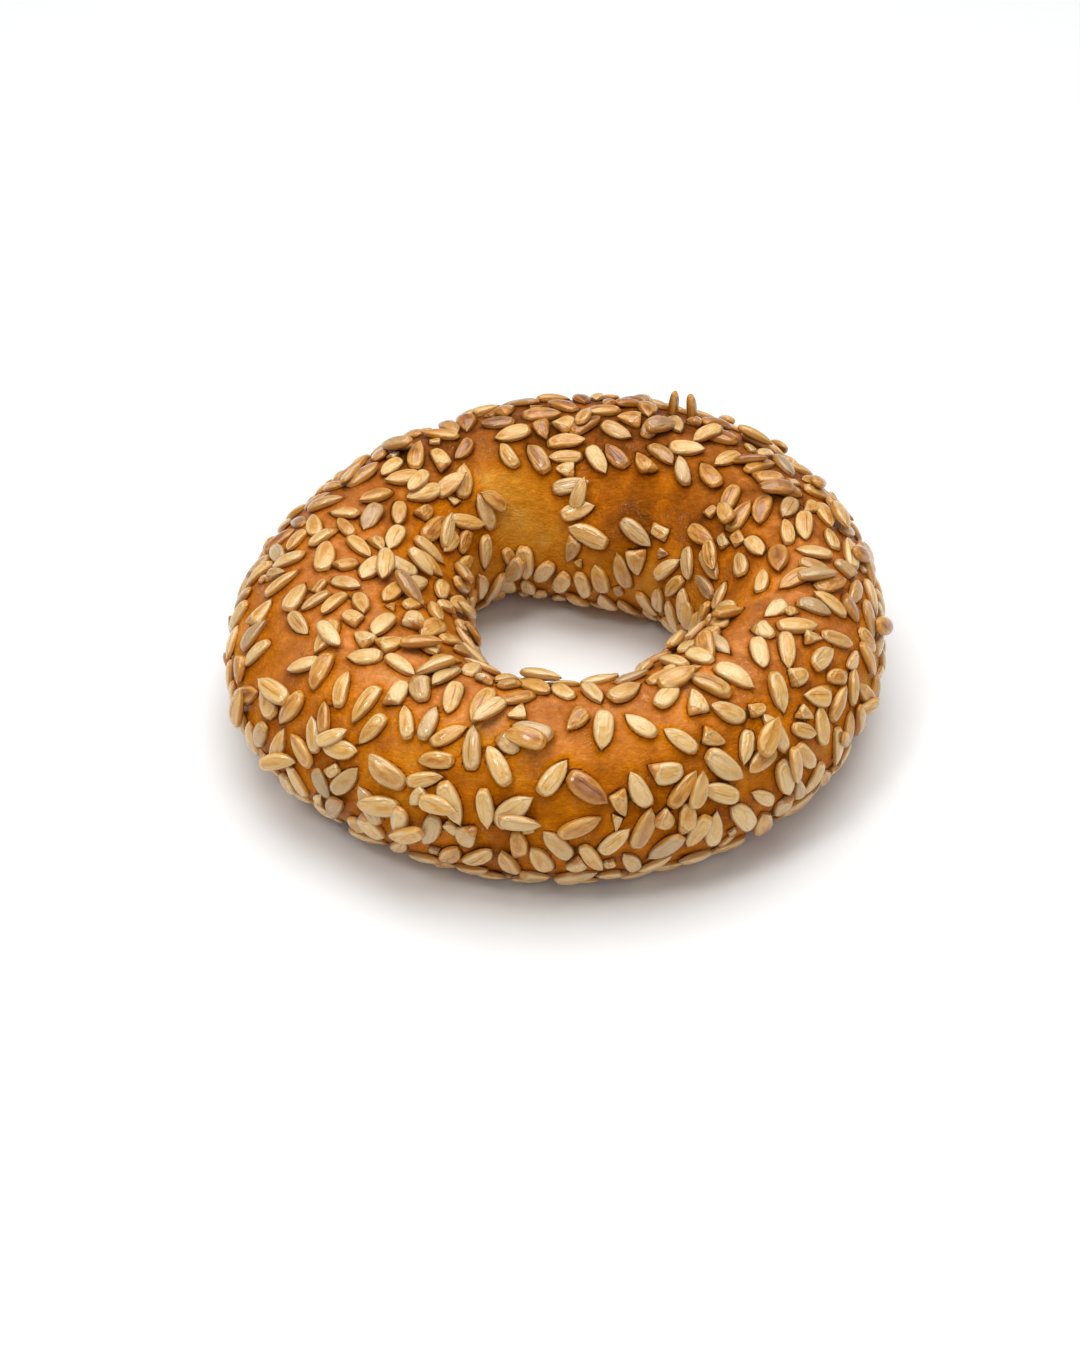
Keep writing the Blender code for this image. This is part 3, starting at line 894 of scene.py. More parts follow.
# %% A kernel form, whole or cut
def kernel_form(name, first, last, draw):
    """A unit kernel, or the stretch of one from first to last, with small irregularities of its own."""
    own = {key: draw.uniform(*span) for key, span in CHARACTER.items()}
    form = bmesh.new()
    form.edges.layers.float.new("crease_edge")
    own_place = form.verts.layers.float_vector.new("own")
    rim = form.verts.layers.float.new("rim")
    rings = section_rings(form, first, last, own, draw)
    join_rings(form, rings)
    closing_faces(form, rings[0])
    broken_ends = [rings[0]] if first > 0.0 else []
    if last < 1.0:
        closing_faces(form, rings[-1])
        broken_ends.append(rings[-1])
    else:
        close_tip(form, rings[-1])
    for ring in broken_ends:
        crease_between(form, [(ring[side], ring[side - 1]) for side in range(SIDES)], CUT_CREASE)
    for vert in form.verts:
        vert[own_place] = vert.co
        vert[rim] = 1.0
    for ring in rings:
        for side, vert in enumerate(ring):
            vert[rim] = rim_of(vert, side)
    bmesh.ops.recalc_face_normals(form, faces=form.faces)
    mesh = bpy.data.meshes.new(name)
    form.to_mesh(mesh)
    form.free()
    return bpy.data.objects.new(name, mesh)


sample = kernel_form("sample", 0.0, 1.0, random.Random(DRAW_SEED))
print("faces of one kernel:", len(sample.data.polygons))
bpy.data.objects.remove(sample)

# %% [markdown]
# ## Shelves of forms
# No two kernels of a bag are alike, but nobody notices a form that comes back turned, stretched and toasted
# differently. So eighteen whole forms and nine broken ones are enough. They lie in two collections that
# aren't in the scene, like moulds on a shelf, and a tree takes them from there by number.

# %% Shelves of forms
FORM_SEED = 7
WHOLE_FORMS = 18
CUTS = (
    (0.0, 0.6), (0.0, 0.7), (0.0, 0.5),
    (0.35, 1.0), (0.25, 1.0), (0.5, 1.0),
    (0.25, 0.6), (0.4, 0.75), (0.1, 0.45),
)  # the stretch that is left of a broken kernel


def shelf(name, cuts, draw):
    """A collection of kernel forms, one for each cut, that isn't in the scene."""
    collection = bpy.data.collections.new(name)
    for number, (first, last) in enumerate(cuts):
        collection.objects.link(kernel_form(f"{name}_{number:02}", first, last, draw))
    return collection


form_draw = random.Random(FORM_SEED)
whole_shelf = shelf("whole", [(0.0, 1.0)] * WHOLE_FORMS, form_draw)
broken_shelf = shelf("broken", CUTS, form_draw)

# %% [markdown]
# ## What each kernel knows
# Copying a mesh hundreds of times by hand is slow, and the places are known. So they are stored as a cloud
# of points with attributes: how each kernel is turned, its size, which form it takes, how much it bends
# with the crust, how toasted and how grey it is, and one number of pure chance. Attributes travel through
# every later step, so that the material can still read them on each kernel.

# %% Bend and form
FORM_CHANCE = 0.15  # lets kernels of one cut take neighbouring forms


def from_middle(matrix):
    """A kernel's place from the middle of the ring, in millimetres."""
    return matrix.translation / MM - Vector((*RING_CENTRE, 0.0))


def crust_bend(matrix, axis):
    """The roundness of the crust (1/mm) under a kernel, along its own x (0) or y (1) axis."""
    radial = from_middle(matrix)
    radial.z = 0.0
    reach = radial.length
    radial.normalize()
    ring_way = Vector((-radial.y, radial.x, 0.0))
    along_ring = matrix.col[axis].xyz.dot(ring_way) ** 2
    return (1.0 - along_ring) / HALF_WIDTH + along_ring * matrix.col[2].xyz.dot(radial) / reach


def form_of(size, draw):
    """Which form a kernel takes: any whole one, or the cut that is nearest to its own."""
    first, last = size[3:]
    if is_whole(size):
        return draw.randrange(WHOLE_FORMS)
    fits = [abs(first - low) + abs(last - high) + draw.uniform(0.0, FORM_CHANCE) for low, high in CUTS]
    return fits.index(min(fits))


bend = max(abs(crust_bend(matrix, axis)) for matrix, _ in kernels for axis in (0, 1))
print("tightest bend: a radius of", round(1.0 / bend, 1), "mm")

# %% How toasted a kernel is
USUAL_TOAST = 0.31
BACK_TOAST = 0.17  # more on the back crest, where the heat came from
HEIGHT_TOAST = 0.10  # more on the crest, less at the foot
USUAL_HEIGHT = 0.6
HOLE_PALENESS = 0.08  # less on the walls of the hole
HOLE_RIM = 8.0  # mm inside the tube's centre, where those walls start
TOAST_SPREAD = 0.19
TOAST_LIMIT = 0.85


def toast_of(matrix, draw):
    """How toasted a kernel is: darkest on the back crest and least on the walls of the hole."""
    place = from_middle(matrix)
    height = place.z / (WIDEST_LEVEL + RISE)
    back = place.y / RING_RADIUS
    toast = USUAL_TOAST + BACK_TOAST * back * height + HEIGHT_TOAST * (height - USUAL_HEIGHT)
    if math.hypot(place.x, place.y) < RING_RADIUS - HOLE_RIM:
        toast -= HOLE_PALENESS
    return min(TOAST_LIMIT, max(0.0, toast + draw.gauss(0.0, TOAST_SPREAD)))


probe = random.Random(DRAW_SEED)
toasts = [toast_of(matrix, probe) for matrix, _ in kernels]
print("toast:", round(min(toasts), 2), "to", round(max(toasts), 2))
print("usual toast:", round(sum(toasts) / len(toasts), 2))

# %% The facts of one kernel
ROUNDING_LOSS = 1.06  # rounding a ring of eight points makes it this much thinner
GREYNESS = (-0.2, 0.42)  # mean and spread of a draw; below 0 isn't grey at all
GREY_LIMIT = 0.9


def facts_of(matrix, size, draw):
    """All that the tree and the material need to know about one kernel."""
    length, width, thickness, _, _ = size
    kept = kept_share(size) * length
    bend_along = crust_bend(matrix, 0) * kept * kept * MM
    bend_across = crust_bend(matrix, 1) * width * width * MM
    return {
        "turn": matrix.to_euler(),
        "size": Vector((kept, width * ROUNDING_LOSS, thickness * ROUNDING_LOSS)) * MM,
        "out": matrix.col[2].xyz,
        "bends": (bend_along, bend_across, 0.0),
        "form": form_of(size, draw),
        "toast": toast_of(matrix, draw),
        "grey": min(GREY_LIMIT, max(0.0, draw.gauss(*GREYNESS))),
        "chance": draw.random(),
    }


for key, fact in facts_of(*kernels[-1], random.Random(DRAW_SEED)).items():
    print(key, "of the last kernel:", fact)

# %% Points with attributes
PROUD = 0.78  # share of a kernel's thickness that stands out of the crust
ATTRIBUTES = {
    "turn": "FLOAT_VECTOR",
    "size": "FLOAT_VECTOR",
    "out": "FLOAT_VECTOR",
    "bends": "FLOAT_VECTOR",
    "form": "INT",
    "toast": "FLOAT",
    "grey": "FLOAT",
    "chance": "FLOAT",
}


def point_cloud(name, placed, draw):
    """A mesh of points, one for each kernel, with its facts as attributes."""
    mesh = bpy.data.meshes.new(name)
    mesh.from_pydata([matrix.translation for matrix, _ in placed], [], [])
    for key, kind in ATTRIBUTES.items():
        mesh.attributes.new(key, kind, "POINT")
    layers = {key: mesh.attributes[key].data for key in ATTRIBUTES}
    for number, (matrix, size) in enumerate(placed):
        mesh.vertices[number].co = matrix @ Vector((0.0, 0.0, (PROUD - 0.5) * size[2] * MM))
        for key, fact in facts_of(matrix, size, draw).items():
            field = "vector" if ATTRIBUTES[key] == "FLOAT_VECTOR" else "value"
            setattr(layers[key][number], field, fact)
    return in_scene(name, mesh)


print("each point carries:", ", ".join(ATTRIBUTES))

# %% [markdown]
# ## The tree that lays the kernels
# Geometry Nodes put a form on each point, turned and sized by the point's attributes. Realize Instances
# makes the copies real faces, which an export needs. Then Set Position bends each kernel: in the oven the
# dough swells round it, so a straight kernel hugs the round crust. The drop grows with the square of the
# distance from the kernel's middle, like a parabola.

# %% Trees with named inputs
def geometry_tree(name, size_names):
    """A tree that takes a mesh and some sizes: its graph, its inputs as wires, and the sizes' identifiers."""
    tree = bpy.data.node_groups.new(name, "GeometryNodeTree")
    tree.interface.new_socket("Mesh", in_out="INPUT", socket_type="NodeSocketGeometry")
    identifiers = {}
    for size_name in size_names:
        socket = tree.interface.new_socket(size_name, in_out="INPUT", socket_type="NodeSocketFloat")
        identifiers[size_name] = socket.identifier
    tree.interface.new_socket("Mesh", in_out="OUTPUT", socket_type="NodeSocketGeometry")
    graph = Graph(tree)
    given = graph.add("NodeGroupInput", {}, {}).socket.node.outputs
    return graph, [Wire(graph, given[key]) for key in ("Mesh", *size_names)], identifiers


def end_tree(graph, mesh, material):
    """Smooth shading, the material, and the way out."""
    smooth = graph.add("GeometryNodeSetShadeSmooth", {}, {0: mesh, "Shade Smooth": True})
    coated = graph.add("GeometryNodeSetMaterial", {}, {"Geometry": smooth, "Material": material})
    graph.add("NodeGroupOutput", {}, {"Mesh": coated})


def moved(graph, mesh, way, distance):
    """The mesh with each point moved along its own direction."""
    shift = graph.add("ShaderNodeVectorMath", {"operation": "SCALE"}, {0: way, "Scale": distance})
    return graph.add("GeometryNodeSetPosition", {}, {"Geometry": mesh, "Offset": shift})


def named(graph, key, kind):
    """A stored attribute, read by its name."""
    return graph.add("GeometryNodeInputNamedAttribute", {"data_type": kind}, {"Name": key})


def parts_of(graph, vector):
    """The x, y and z of a vector."""
    node = graph.add("ShaderNodeSeparateXYZ", {}, {0: vector}).socket.node
    return [Wire(graph, output) for output in node.outputs]


print("helpers for trees:", geometry_tree.__name__, end_tree.__name__, moved.__name__)

# %% The laying tree
def laying_tree(forms, material):
    """Puts a form on every point, realizes it, and bends it with the crust."""
    graph, (points, hug), identifiers = geometry_tree("lay_kernels", ["Hug"])
    moulds = {"Collection": forms, "Separate Children": True, "Reset Children": True}
    laid = graph.add("GeometryNodeInstanceOnPoints", {}, {
        "Points": points,
        "Instance": graph.add("GeometryNodeCollectionInfo", {}, moulds),
        "Pick Instance": True,
        "Instance Index": named(graph, "form", "INT"),
        "Rotation": named(graph, "turn", "FLOAT_VECTOR"),
        "Scale": named(graph, "size", "FLOAT_VECTOR"),
    })
    real = graph.add("GeometryNodeRealizeInstances", {}, {"Geometry": laid})
    along, across, _ = parts_of(graph, named(graph, "own", "FLOAT_VECTOR"))
    bend_along, bend_across, _ = parts_of(graph, named(graph, "bends", "FLOAT_VECTOR"))
    drop = (bend_along * along * along + bend_across * across * across) * hug * -0.5
    bent = moved(graph, real, named(graph, "out", "FLOAT_VECTOR"), drop)
    end_tree(graph, bent, material)
    return graph.tree, identifiers


print("the laying tree takes each form by its number")

# %% From a tree to a plain mesh
def made_plain(source, name, tree, identifiers, sizes):
    """Runs a tree on an object: the result is a plain mesh object, and the source is gone."""
    modifier = source.modifiers.new(tree.name, "NODES")
    modifier.node_group = tree
    for size_name, size in sizes.items():
        modifier[identifiers[size_name]] = size
    bpy.context.view_layer.update()
    evaluated = source.evaluated_get(bpy.context.evaluated_depsgraph_get())
    mesh = bpy.data.meshes.new_from_object(evaluated)
    mesh.name = name
    bpy.data.objects.remove(source)
    return in_scene(name, mesh)


print("helper for plain meshes:", made_plain.__name__)

# %% [markdown]
# ## How a kernel looks
# A hulled kernel has a lip along its edge, an amber field in the middle of its broad faces, a rim and a
# foot where it touches the glaze, and a brown nib. The lip is painted pale as the highlight on the kernel's
# shoulder. The rim is toasted, and painted amber with shade and with the orange that the crust reflects into
# it. The foot is painted dark with the shadow where the kernel meets the crust, over some wet glaze. Fine
# streaks run lengthwise, some kernels have a thin groove, a few are grey, and the oven toasts some more than
# others. A material for each kernel would be too many. One material serves them all: it reads each kernel's
# own toast, grey and chance numbers, and its own coordinates, so that the pattern sits the same way on every
# kernel but never repeats. A thin coat gives the small bright spots.

# %% Patterns for more than one tree
RELIEF_STRENGTH = 0.8
NOISE_SPAN = (0.3, 0.7)  # where nearly all of a noise lies


def attribute(graph, name, out="Fac"):
    """A stored attribute, as a material reads it."""
    return graph.add("ShaderNodeAttribute", {"attribute_name": name}, {}, out)


def noise(graph, place, size, detail=2.0, roughness=0.5, distortion=0.0):
    """Noise of about this grain, in the units of the place, from 0 to 1."""
    return graph.add("ShaderNodeTexNoise", {}, {
        "Vector": place,
        "Scale": 1.0 / size,
        "Detail": detail,
        "Roughness": roughness,
        "Distortion": distortion,
    }, "Fac")


def stretched_noise(graph, place, stretch, *grain):
    """Noise that is finer along the axes with a larger stretch."""
    return noise(graph, graph.vector("MULTIPLY", place, stretch), *grain)


def ramp(graph, value, stops):
    """A colour picked by a value between the stops."""
    return graph.add("ShaderNodeValToRGB", {"stops": stops}, {"Fac": value}, "Color")


def sum_of(fields, shares):
    """Named fields added up, each by its share."""
    parts = [fields[name] * share for name, share in shares.items()]
    return sum(parts[1:], parts[0])


def bumped(graph, height, distance):
    """Relief too fine for the mesh, this high in metres."""
    sockets = {"Strength": RELIEF_STRENGTH, "Distance": distance, "Height": height}
    return graph.add("ShaderNodeBump", {}, sockets)


print("pattern helpers:", ", ".join(helper.__name__ for helper in (attribute, noise, ramp, sum_of, bumped)))

# %% Colours of the kernels
# From raw cream to well toasted.
TOAST_STOPS = (
    (0.0, (0.75, 0.50, 0.215)),
    (0.25, (0.69, 0.385, 0.098)),
    (0.5, (0.56, 0.240, 0.029)),
    (0.75, (0.36, 0.116, 0.009)),
    (1.0, (0.18, 0.046, 0.004)),
)
GREY_COLOUR = (0.37, 0.25, 0.135, 1.0)
# Marks that lie over the toast: the nib's own brown, the rim's toast painted amber with shade and reflected
# crust colour, and the foot's painted contact shadow over wet glaze. How much each covers, and its colour.
STAINS_AND_SHADE = {
    "rim": (0.85, (0.56, 0.225, 0.016, 1.0)),
    "foot": (0.85, (0.17, 0.046, 0.002, 1.0)),
    "nib": (0.75, (0.36, 0.13, 0.022, 1.0)),
}
print("kernel colours:", len(TOAST_STOPS) + len(STAINS_AND_SHADE) + 1)

# %% Marks on a kernel
GROOVED = 0.13  # share of the kernels that have a groove
STREAK_STRETCH = (1.5, 9.0, 3.0)  # fine across a kernel, long along it
STREAK_NOISE = (1.0, 3.0, 0.6)  # grain, detail and roughness
CLOUD_NOISE = (0.42, 2.0, 0.55, 0.6)  # the same, and distortion
APART = {"X": 37.0, "Y": 91.0, "Z": 53.0}  # moves the pattern to another place for each kernel
ASIDE = 0.10  # the strip in which the groove lies, on one kernel or another, as a share of the width
RIDGE_PLACE = 0.17  # from the groove's line to the ridge on either side
CLOUDED = {"edge": 0.4, "foot": 0.2, "nib": 0.16}  # how much clouds move where these marks end
# Each mark grows from nothing at the first value to all at the second.
MARK_SPANS = {
    "groove": (0.05, 0.0),  # away from its line
    "groove_length": (0.40, 0.15),  # away from the kernel's middle
    "ridges": (0.09, 0.0),  # away from their lines
    "foot": (0.06, -0.24),  # height
    "rim": (0.62, 0.98),  # nearness to the rim
    "lip": (0.26, 0.52),  # the same
    "field": (0.40, 0.16),  # the same
    "patchy": (0.38, 0.62),  # clouds
    "nib": (0.38, 0.50),  # place along the kernel
}


def mark(graph, name, value):
    """How strong a mark is, from 0 to 1, where this value is measured."""
    return graph.between(value, *MARK_SPANS[name])


print("marks:", ", ".join(MARK_SPANS))

# %% Where the marks are
def kernel_marks(graph):
    """A kernel's marks by name, each from 0 to 1, with its streaks, clouds and chance."""
    own = attribute(graph, "own", "Vector")
    chance = attribute(graph, "chance")
    along, across, above = parts_of(graph, own)
    shift = {axis: chance * distance for axis, distance in APART.items()}
    place = graph.vector("ADD", own, graph.add("ShaderNodeCombineXYZ", {}, shift))
    streaks = stretched_noise(graph, place, STREAK_STRETCH, *STREAK_NOISE)
    clouds = noise(graph, place, *CLOUD_NOISE)
    moved_by = {name: (clouds - 0.5) * share for name, share in CLOUDED.items()}
    aside = graph.maths("ABSOLUTE", across + (chance - 0.5) * ASIDE)
    groove = mark(graph, "groove", aside) * mark(graph, "groove_length", graph.maths("ABSOLUTE", along))
    edge = attribute(graph, "rim") + moved_by["edge"]
    rim = mark(graph, "rim", edge)
    return {
        "streaks": streaks,
        "clouds": clouds,
        "chance": chance,
        "groove": groove * graph.maths("LESS_THAN", chance, GROOVED),
        "ridges": mark(graph, "ridges", graph.maths("ABSOLUTE", aside - RIDGE_PLACE)),
        "foot": mark(graph, "foot", above + moved_by["foot"]),
        "rim": rim,
        "lip": mark(graph, "lip", edge) - rim,
        "field": mark(graph, "field", edge) * mark(graph, "patchy", clouds),
        "nib": mark(graph, "nib", along + moved_by["nib"]),
    }


print("about", round(GROOVED * len(kernels)), "kernels have a groove")

# %% Material of the kernels
KERNEL_FINISH = {
    "Specular IOR Level": 0.40,
    "Specular Tint": (1.0, 0.92, 0.78, 1.0),
    "Coat Weight": 0.8,
    "Coat Roughness": 0.14,
    "Subsurface Weight": 0.25,
    "Subsurface Radius": (1.0, 0.45, 0.15),
    "Subsurface Scale": 0.0012,
}
KERNEL_ROUGHNESS = (0.28, 0.42)
GLOSSIER = 0.07  # some kernels are glossier by this
GLOSSY_CHANCE = (0.6, 0.8)  # from none of it to all of it, by a kernel's chance number
KERNEL_RELIEF = 0.0005  # metres
UNEVEN_TOAST = {"streaks": 0.20, "clouds": 0.62}  # how far noise moves the toast to either side
# The lip's shift towards cream is a painted highlight along the kernel's shoulder; its relief is real.
MARKED_TOAST = {"groove": 0.20, "ridges": -0.03, "field": 0.13, "lip": -0.16}  # how far marks move it
KERNEL_HEIGHTS = {"streaks": 0.16, "clouds": 1.2, "groove": -0.5, "ridges": 0.20, "lip": 0.60}


def kernel_material():
    """The one material of all kernels."""
    material, shader, graph = new_material("kernel")
    marks = kernel_marks(graph)
    uneven = {name: marks[name] - 0.5 for name in UNEVEN_TOAST}
    toast = attribute(graph, "toast") + sum_of(uneven, UNEVEN_TOAST) + sum_of(marks, MARKED_TOAST)
    colour = graph.mix(attribute(graph, "grey"), ramp(graph, toast, TOAST_STOPS), GREY_COLOUR)
    # The rim's amber is partly painted shade and reflected crust colour; the foot's dark is painted contact
    # shadow.
    for name, (cover, stain_and_shade) in STAINS_AND_SHADE.items():
        colour = graph.mix(marks[name] * cover, colour, stain_and_shade)
    dull = graph.between(marks["streaks"], *NOISE_SPAN, *KERNEL_ROUGHNESS)
    graph.feed(shader, {
        "Base Color": colour,
        "Roughness": dull - graph.between(marks["chance"], *GLOSSY_CHANCE) * GLOSSIER,
        "Normal": bumped(graph, sum_of(marks, KERNEL_HEIGHTS), KERNEL_RELIEF),
        **KERNEL_FINISH,
    })
    return material


kernel_look = kernel_material()
print("kernel material:", len(kernel_look.node_tree.nodes), "nodes")

# %% [markdown]
# ## All kernels in place
# Whole and broken kernels become one mesh each, so that either can be taken away or coloured by itself. The
# modifier's input is set by its identifier before the tree first runs. A Subdivision Surface of one level
# stays on as a modifier: it rounds the forms, while the creases keep tips and broken ends crisp.

# %% Lay all kernels
LOOK_SEED = 3
HUG = 1.0  # how closely a kernel follows the crust
ROUNDING = 1


def lay_kernels(name, placed, forms, draw):
    """The kernels of one kind as a single mesh, rounded."""
    tree, identifiers = laying_tree(forms, kernel_look)
    piece = made_plain(point_cloud(name + "_points", placed, draw), name, tree, identifiers, {"Hug": HUG})
    rounding = piece.modifiers.new("rounding", "SUBSURF")
    rounding.levels = ROUNDING
    rounding.render_levels = ROUNDING
    return piece


look_draw = random.Random(LOOK_SEED)
whole = [kernel for kernel in kernels if is_whole(kernel[1])]
broken = [kernel for kernel in kernels if not is_whole(kernel[1])]
whole_piece = lay_kernels("kernels_whole", whole, whole_shelf, look_draw)
broken_piece = lay_kernels("kernels_broken", broken, broken_shelf, look_draw)
print("faces before rounding:", len(whole_piece.data.polygons), len(broken_piece.data.polygons))

# %% [markdown]
# ## The crust's skin
# The skin of the dough comes from the same formula as the kernels' places, as one closed grid. The lines
# lie close together over the dough and far apart under it, where nothing shows. Heat from above browns the
# crest, most of all at the back, and leaves the walls of the hole yellow. That could be painted. Here each
# point gets its brownness and yellowness from a few soft hills, so that it can be read and changed.

# %% Points of the skin
RING_CUTS = 520
FLANK_CUTS = 166
SOLE_CUTS = 16
EDGE_ROUNDING = 0.5  # mm, at the sole


def tube_angles():
    """Angles of the lines that run round the ring: close together over the dough, few across its sole."""
    edge = math.radians(SOLE_ANGLE)
    over = math.pi + 2.0 * edge
    under = 2.0 * math.pi - over
    flank = [-edge + over * n / FLANK_CUTS for n in range(FLANK_CUTS)]
    return flank + [math.pi + edge + under * n / SOLE_CUTS for n in range(SOLE_CUTS)]


def skin_point(ring_angle, tube_angle):
    """A point of the crust, with the sole's edge rounded off."""
    point = crust_point(ring_angle, tube_angle)
    if math.sin(tube_angle) < 0.0:
        up = WIDEST_LEVEL + DROP * softened(math.sin(tube_angle), 2.0 / SQUARENESS)
        point.z = 0.5 * (up + math.sqrt(up * up + EDGE_ROUNDING ** 2)) * MM
    return point


print("lines round the ring:", len(tube_angles()), "each of", RING_CUTS, "points")

# %% Heat on the crust
USUAL_BAKE = 0.41  # 0 is cream and 1 is dark
# Hills round the tube: the middle and the reach in degrees, then the change.
CREST_BAKE = (78.0, 52.0, 0.08)
REAR_BAKE = (88.0, 44.0, 0.28)
FOOT_BAKE = (-40.0, 25.0, 0.05)
# Places that are browner or paler: the two angles of the middle, the two reaches, then the change.
BAKE_PATCHES = (
    (48, 140, 26, 26, 0.18),
    (5, 130, 22, 24, 0.14),
    (334, 104, 18, 20, 0.06),
    (271, 30, 18, 20, 0.14),
    (119, 122, 8, 24, -0.16),
    (181, 155, 26, 26, 0.13),
    (110, 152, 12, 22, -0.18),
    (250, 58, 22, 26, -0.18),
    (83, 185, 34, 22, -0.14),
    (83, 138, 14, 16, -0.08),
    (198, 32, 10, 14, 0.16),
    (186, 6, 17, 15, -0.24),
    (352, 8, 16, 28, -0.34),
)
WALL_GOLD = (152.0, 8.0, 0.75)  # the tube's angle where the walls turn yellow, over how much, and how yellow
JOIN_GOLD = (-5.0, 13.0, 142.0, 30.0, 0.9)  # from the join, reach; round the tube, reach; how yellow
print("browner or paler places:", len(BAKE_PATCHES))

# %% How brown and how yellow
def hill_up(tube_angle, middle, reach, height):
    """A hill of a given height at one place round the tube."""
    return height * hill(tube_angle - middle, reach)


def bake_at(ring_angle, tube_angle):
    """How brown the crust is: the crest took most heat, the back above all."""
    rear = max(0.0, math.sin(math.radians(ring_angle)))
    brown = USUAL_BAKE + hill_up(tube_angle, *CREST_BAKE) + rear * hill_up(tube_angle, *REAR_BAKE)
    brown += hill_up(tube_angle, *FOOT_BAKE)
    for ring_place, tube_place, ring_reach, tube_reach, change in BAKE_PATCHES:
        share = hill_round(ring_angle, ring_place, ring_reach)
        brown += share * hill_up(tube_angle, tube_place, tube_reach, change)
    return brown


def gold_at(ring_angle, tube_angle):
    """How yellow the crust is: most on the walls of the hole and in the join, where less heat came."""
    wall_angle, spread, wall_gold = WALL_GOLD
    ring_offset, ring_reach, tube_place, tube_reach, join_gold = JOIN_GOLD
    wall = wall_gold / (1.0 + math.exp((wall_angle - tube_angle) / spread))
    join = hill_round(ring_angle, JOIN_ANGLE + ring_offset, ring_reach)
    return min(1.0, wall + join * hill_up(tube_angle, tube_place, tube_reach, join_gold))


for side, ring_angle in (("back", 90.0), ("front", 270.0)):
    print("brownness of the crest at the", side, round(bake_at(ring_angle, 85.0), 2))

# %% Crust grid
CREST_TAN_AND_SHEEN = (86.0, 30.0, 1.0)  # the crest is tan and duller than the sides, partly a painted sheen: its middle, its reach, and how much


def crust_grid(name):
    """The closed grid of the skin, with its brownness, yellowness and crest stored on its points."""
    angles = tube_angles()
    count = len(angles)
    points, faces, bakes, golds, crests = [], [], [], [], []
    for ring_cut in range(RING_CUTS):
        ring_angle = 2.0 * math.pi * ring_cut / RING_CUTS
        here = ring_cut * count
        there = (ring_cut + 1) % RING_CUTS * count
        for low, tube_angle in enumerate(angles):
            high = (low + 1) % count
            faces.append((here + low, there + low, there + high, here + high))
            points.append(skin_point(ring_angle, tube_angle))
            place = math.degrees(ring_angle), math.degrees(tube_angle)
            bakes.append(bake_at(*place))
            golds.append(gold_at(*place))
            crests.append(hill_up(place[1], *CREST_TAN_AND_SHEEN))
    mesh = bpy.data.meshes.new(name)
    mesh.from_pydata(points, [], faces)
    for key, values in (("bake", bakes), ("gold", golds), ("crest", crests)):
        mesh.attributes.new(key, "FLOAT", "POINT").data.foreach_set("value", values)
    return in_scene(name, mesh)


dough = crust_grid("crust_grid")
print("crust grid:", len(dough.data.polygons), "faces")
print("lowest point:", round(min(vert.co.z for vert in dough.data.vertices) / MM, 3), "mm")

# %% [markdown]
# ## The skin that swells in the oven
# The formula alone looks moulded. Real dough swells up round whatever is pressed into it, and it has soft
# lumps and fine ripples. Sculpting that round hundreds of kernels would never end. A Geometry Nodes tree
# measures how near the kernels are, lifts the skin there, and stores the nearness, so that the material can
# gather dark glaze and paint contact shade in those places. The lift fades out towards the sole, which stays
# flat.

# %% The tree of the baked skin
# Sizes in millimetres.
SKIN_SIZES = {
    "Swell": 0.35,
    "Reach": 0.8,
    "Stain and shade reach": 1.6,
    "Lump height": 0.25,
    "Lump size": 14.0,
    "Ripple height": 0.07,
    "Ripple size": 4.0,
    "Sole fade": 4.0,
}


def waviness(graph, place, size, height, detail):
    """Soft noise in the skin, up and down by its height."""
    return (noise(graph, place, size, detail) - 0.5) * height * 2.0


def skin_tree(toppings, material):
    """Lifts the skin round the toppings, adds lumps, and stores how near the toppings are."""
    graph, wires, identifiers = geometry_tree("baked_skin", list(SKIN_SIZES))
    skin, swell, reach, stain_and_shade, lump_height, lump_size, ripple_height, ripple_size, fade = wires
    place = graph.add("GeometryNodeInputPosition", {}, {})
    real = graph.add("GeometryNodeRealizeInstances", {}, {
        "Geometry": graph.add("GeometryNodeCollectionInfo", {}, {"Collection": toppings}),
    })
    distance = graph.add("GeometryNodeProximity", {"target_element": "FACES"}, {0: real}, "Distance")
    lift = (1.0 - graph.between(distance, 0.0, reach)) * swell
    lift = lift + waviness(graph, place, lump_size, lump_height, 1.0)
    lift = lift + waviness(graph, place, ripple_size, ripple_height, 2.0)
    lift = lift * graph.between(parts_of(graph, place)[2], 0.0, fade)
    # The nearness that the crust material turns into gathered glaze and painted contact shade.
    kept = graph.add("GeometryNodeStoreNamedAttribute", {"data_type": "FLOAT", "domain": "POINT"}, {
        "Geometry": skin,
        "Name": "near",
        "Value": 1.0 - graph.between(distance, 0.0, stain_and_shade),
    })
    out = graph.add("GeometryNodeInputNormal", {}, {})
    end_tree(graph, moved(graph, kept, out, lift), material)
    return graph.tree, identifiers


print("the skin's tree takes:", ", ".join(SKIN_SIZES))

# %% [markdown]
# ## How the crust looks
# Baked, glazed dough runs from cream through orange to dark brown. Its thin outer layer is tan where it
# dried on the crest, where a painted sheen also stands for the broad reflection of the lamp above, and golden
# where the heat came late. So three ramps share one measure of brownness, and soft masks blend them. Noise at
# three grains breaks the measure up. Glaze gathers dark where kernels are near, and painted contact shade
# darkens the same places. Pale threads and specks are painted glints on the glaze, with pale specks of the
# crust itself. Relief as fine as that lives in a Bump node, because a mesh that fine would be too heavy.

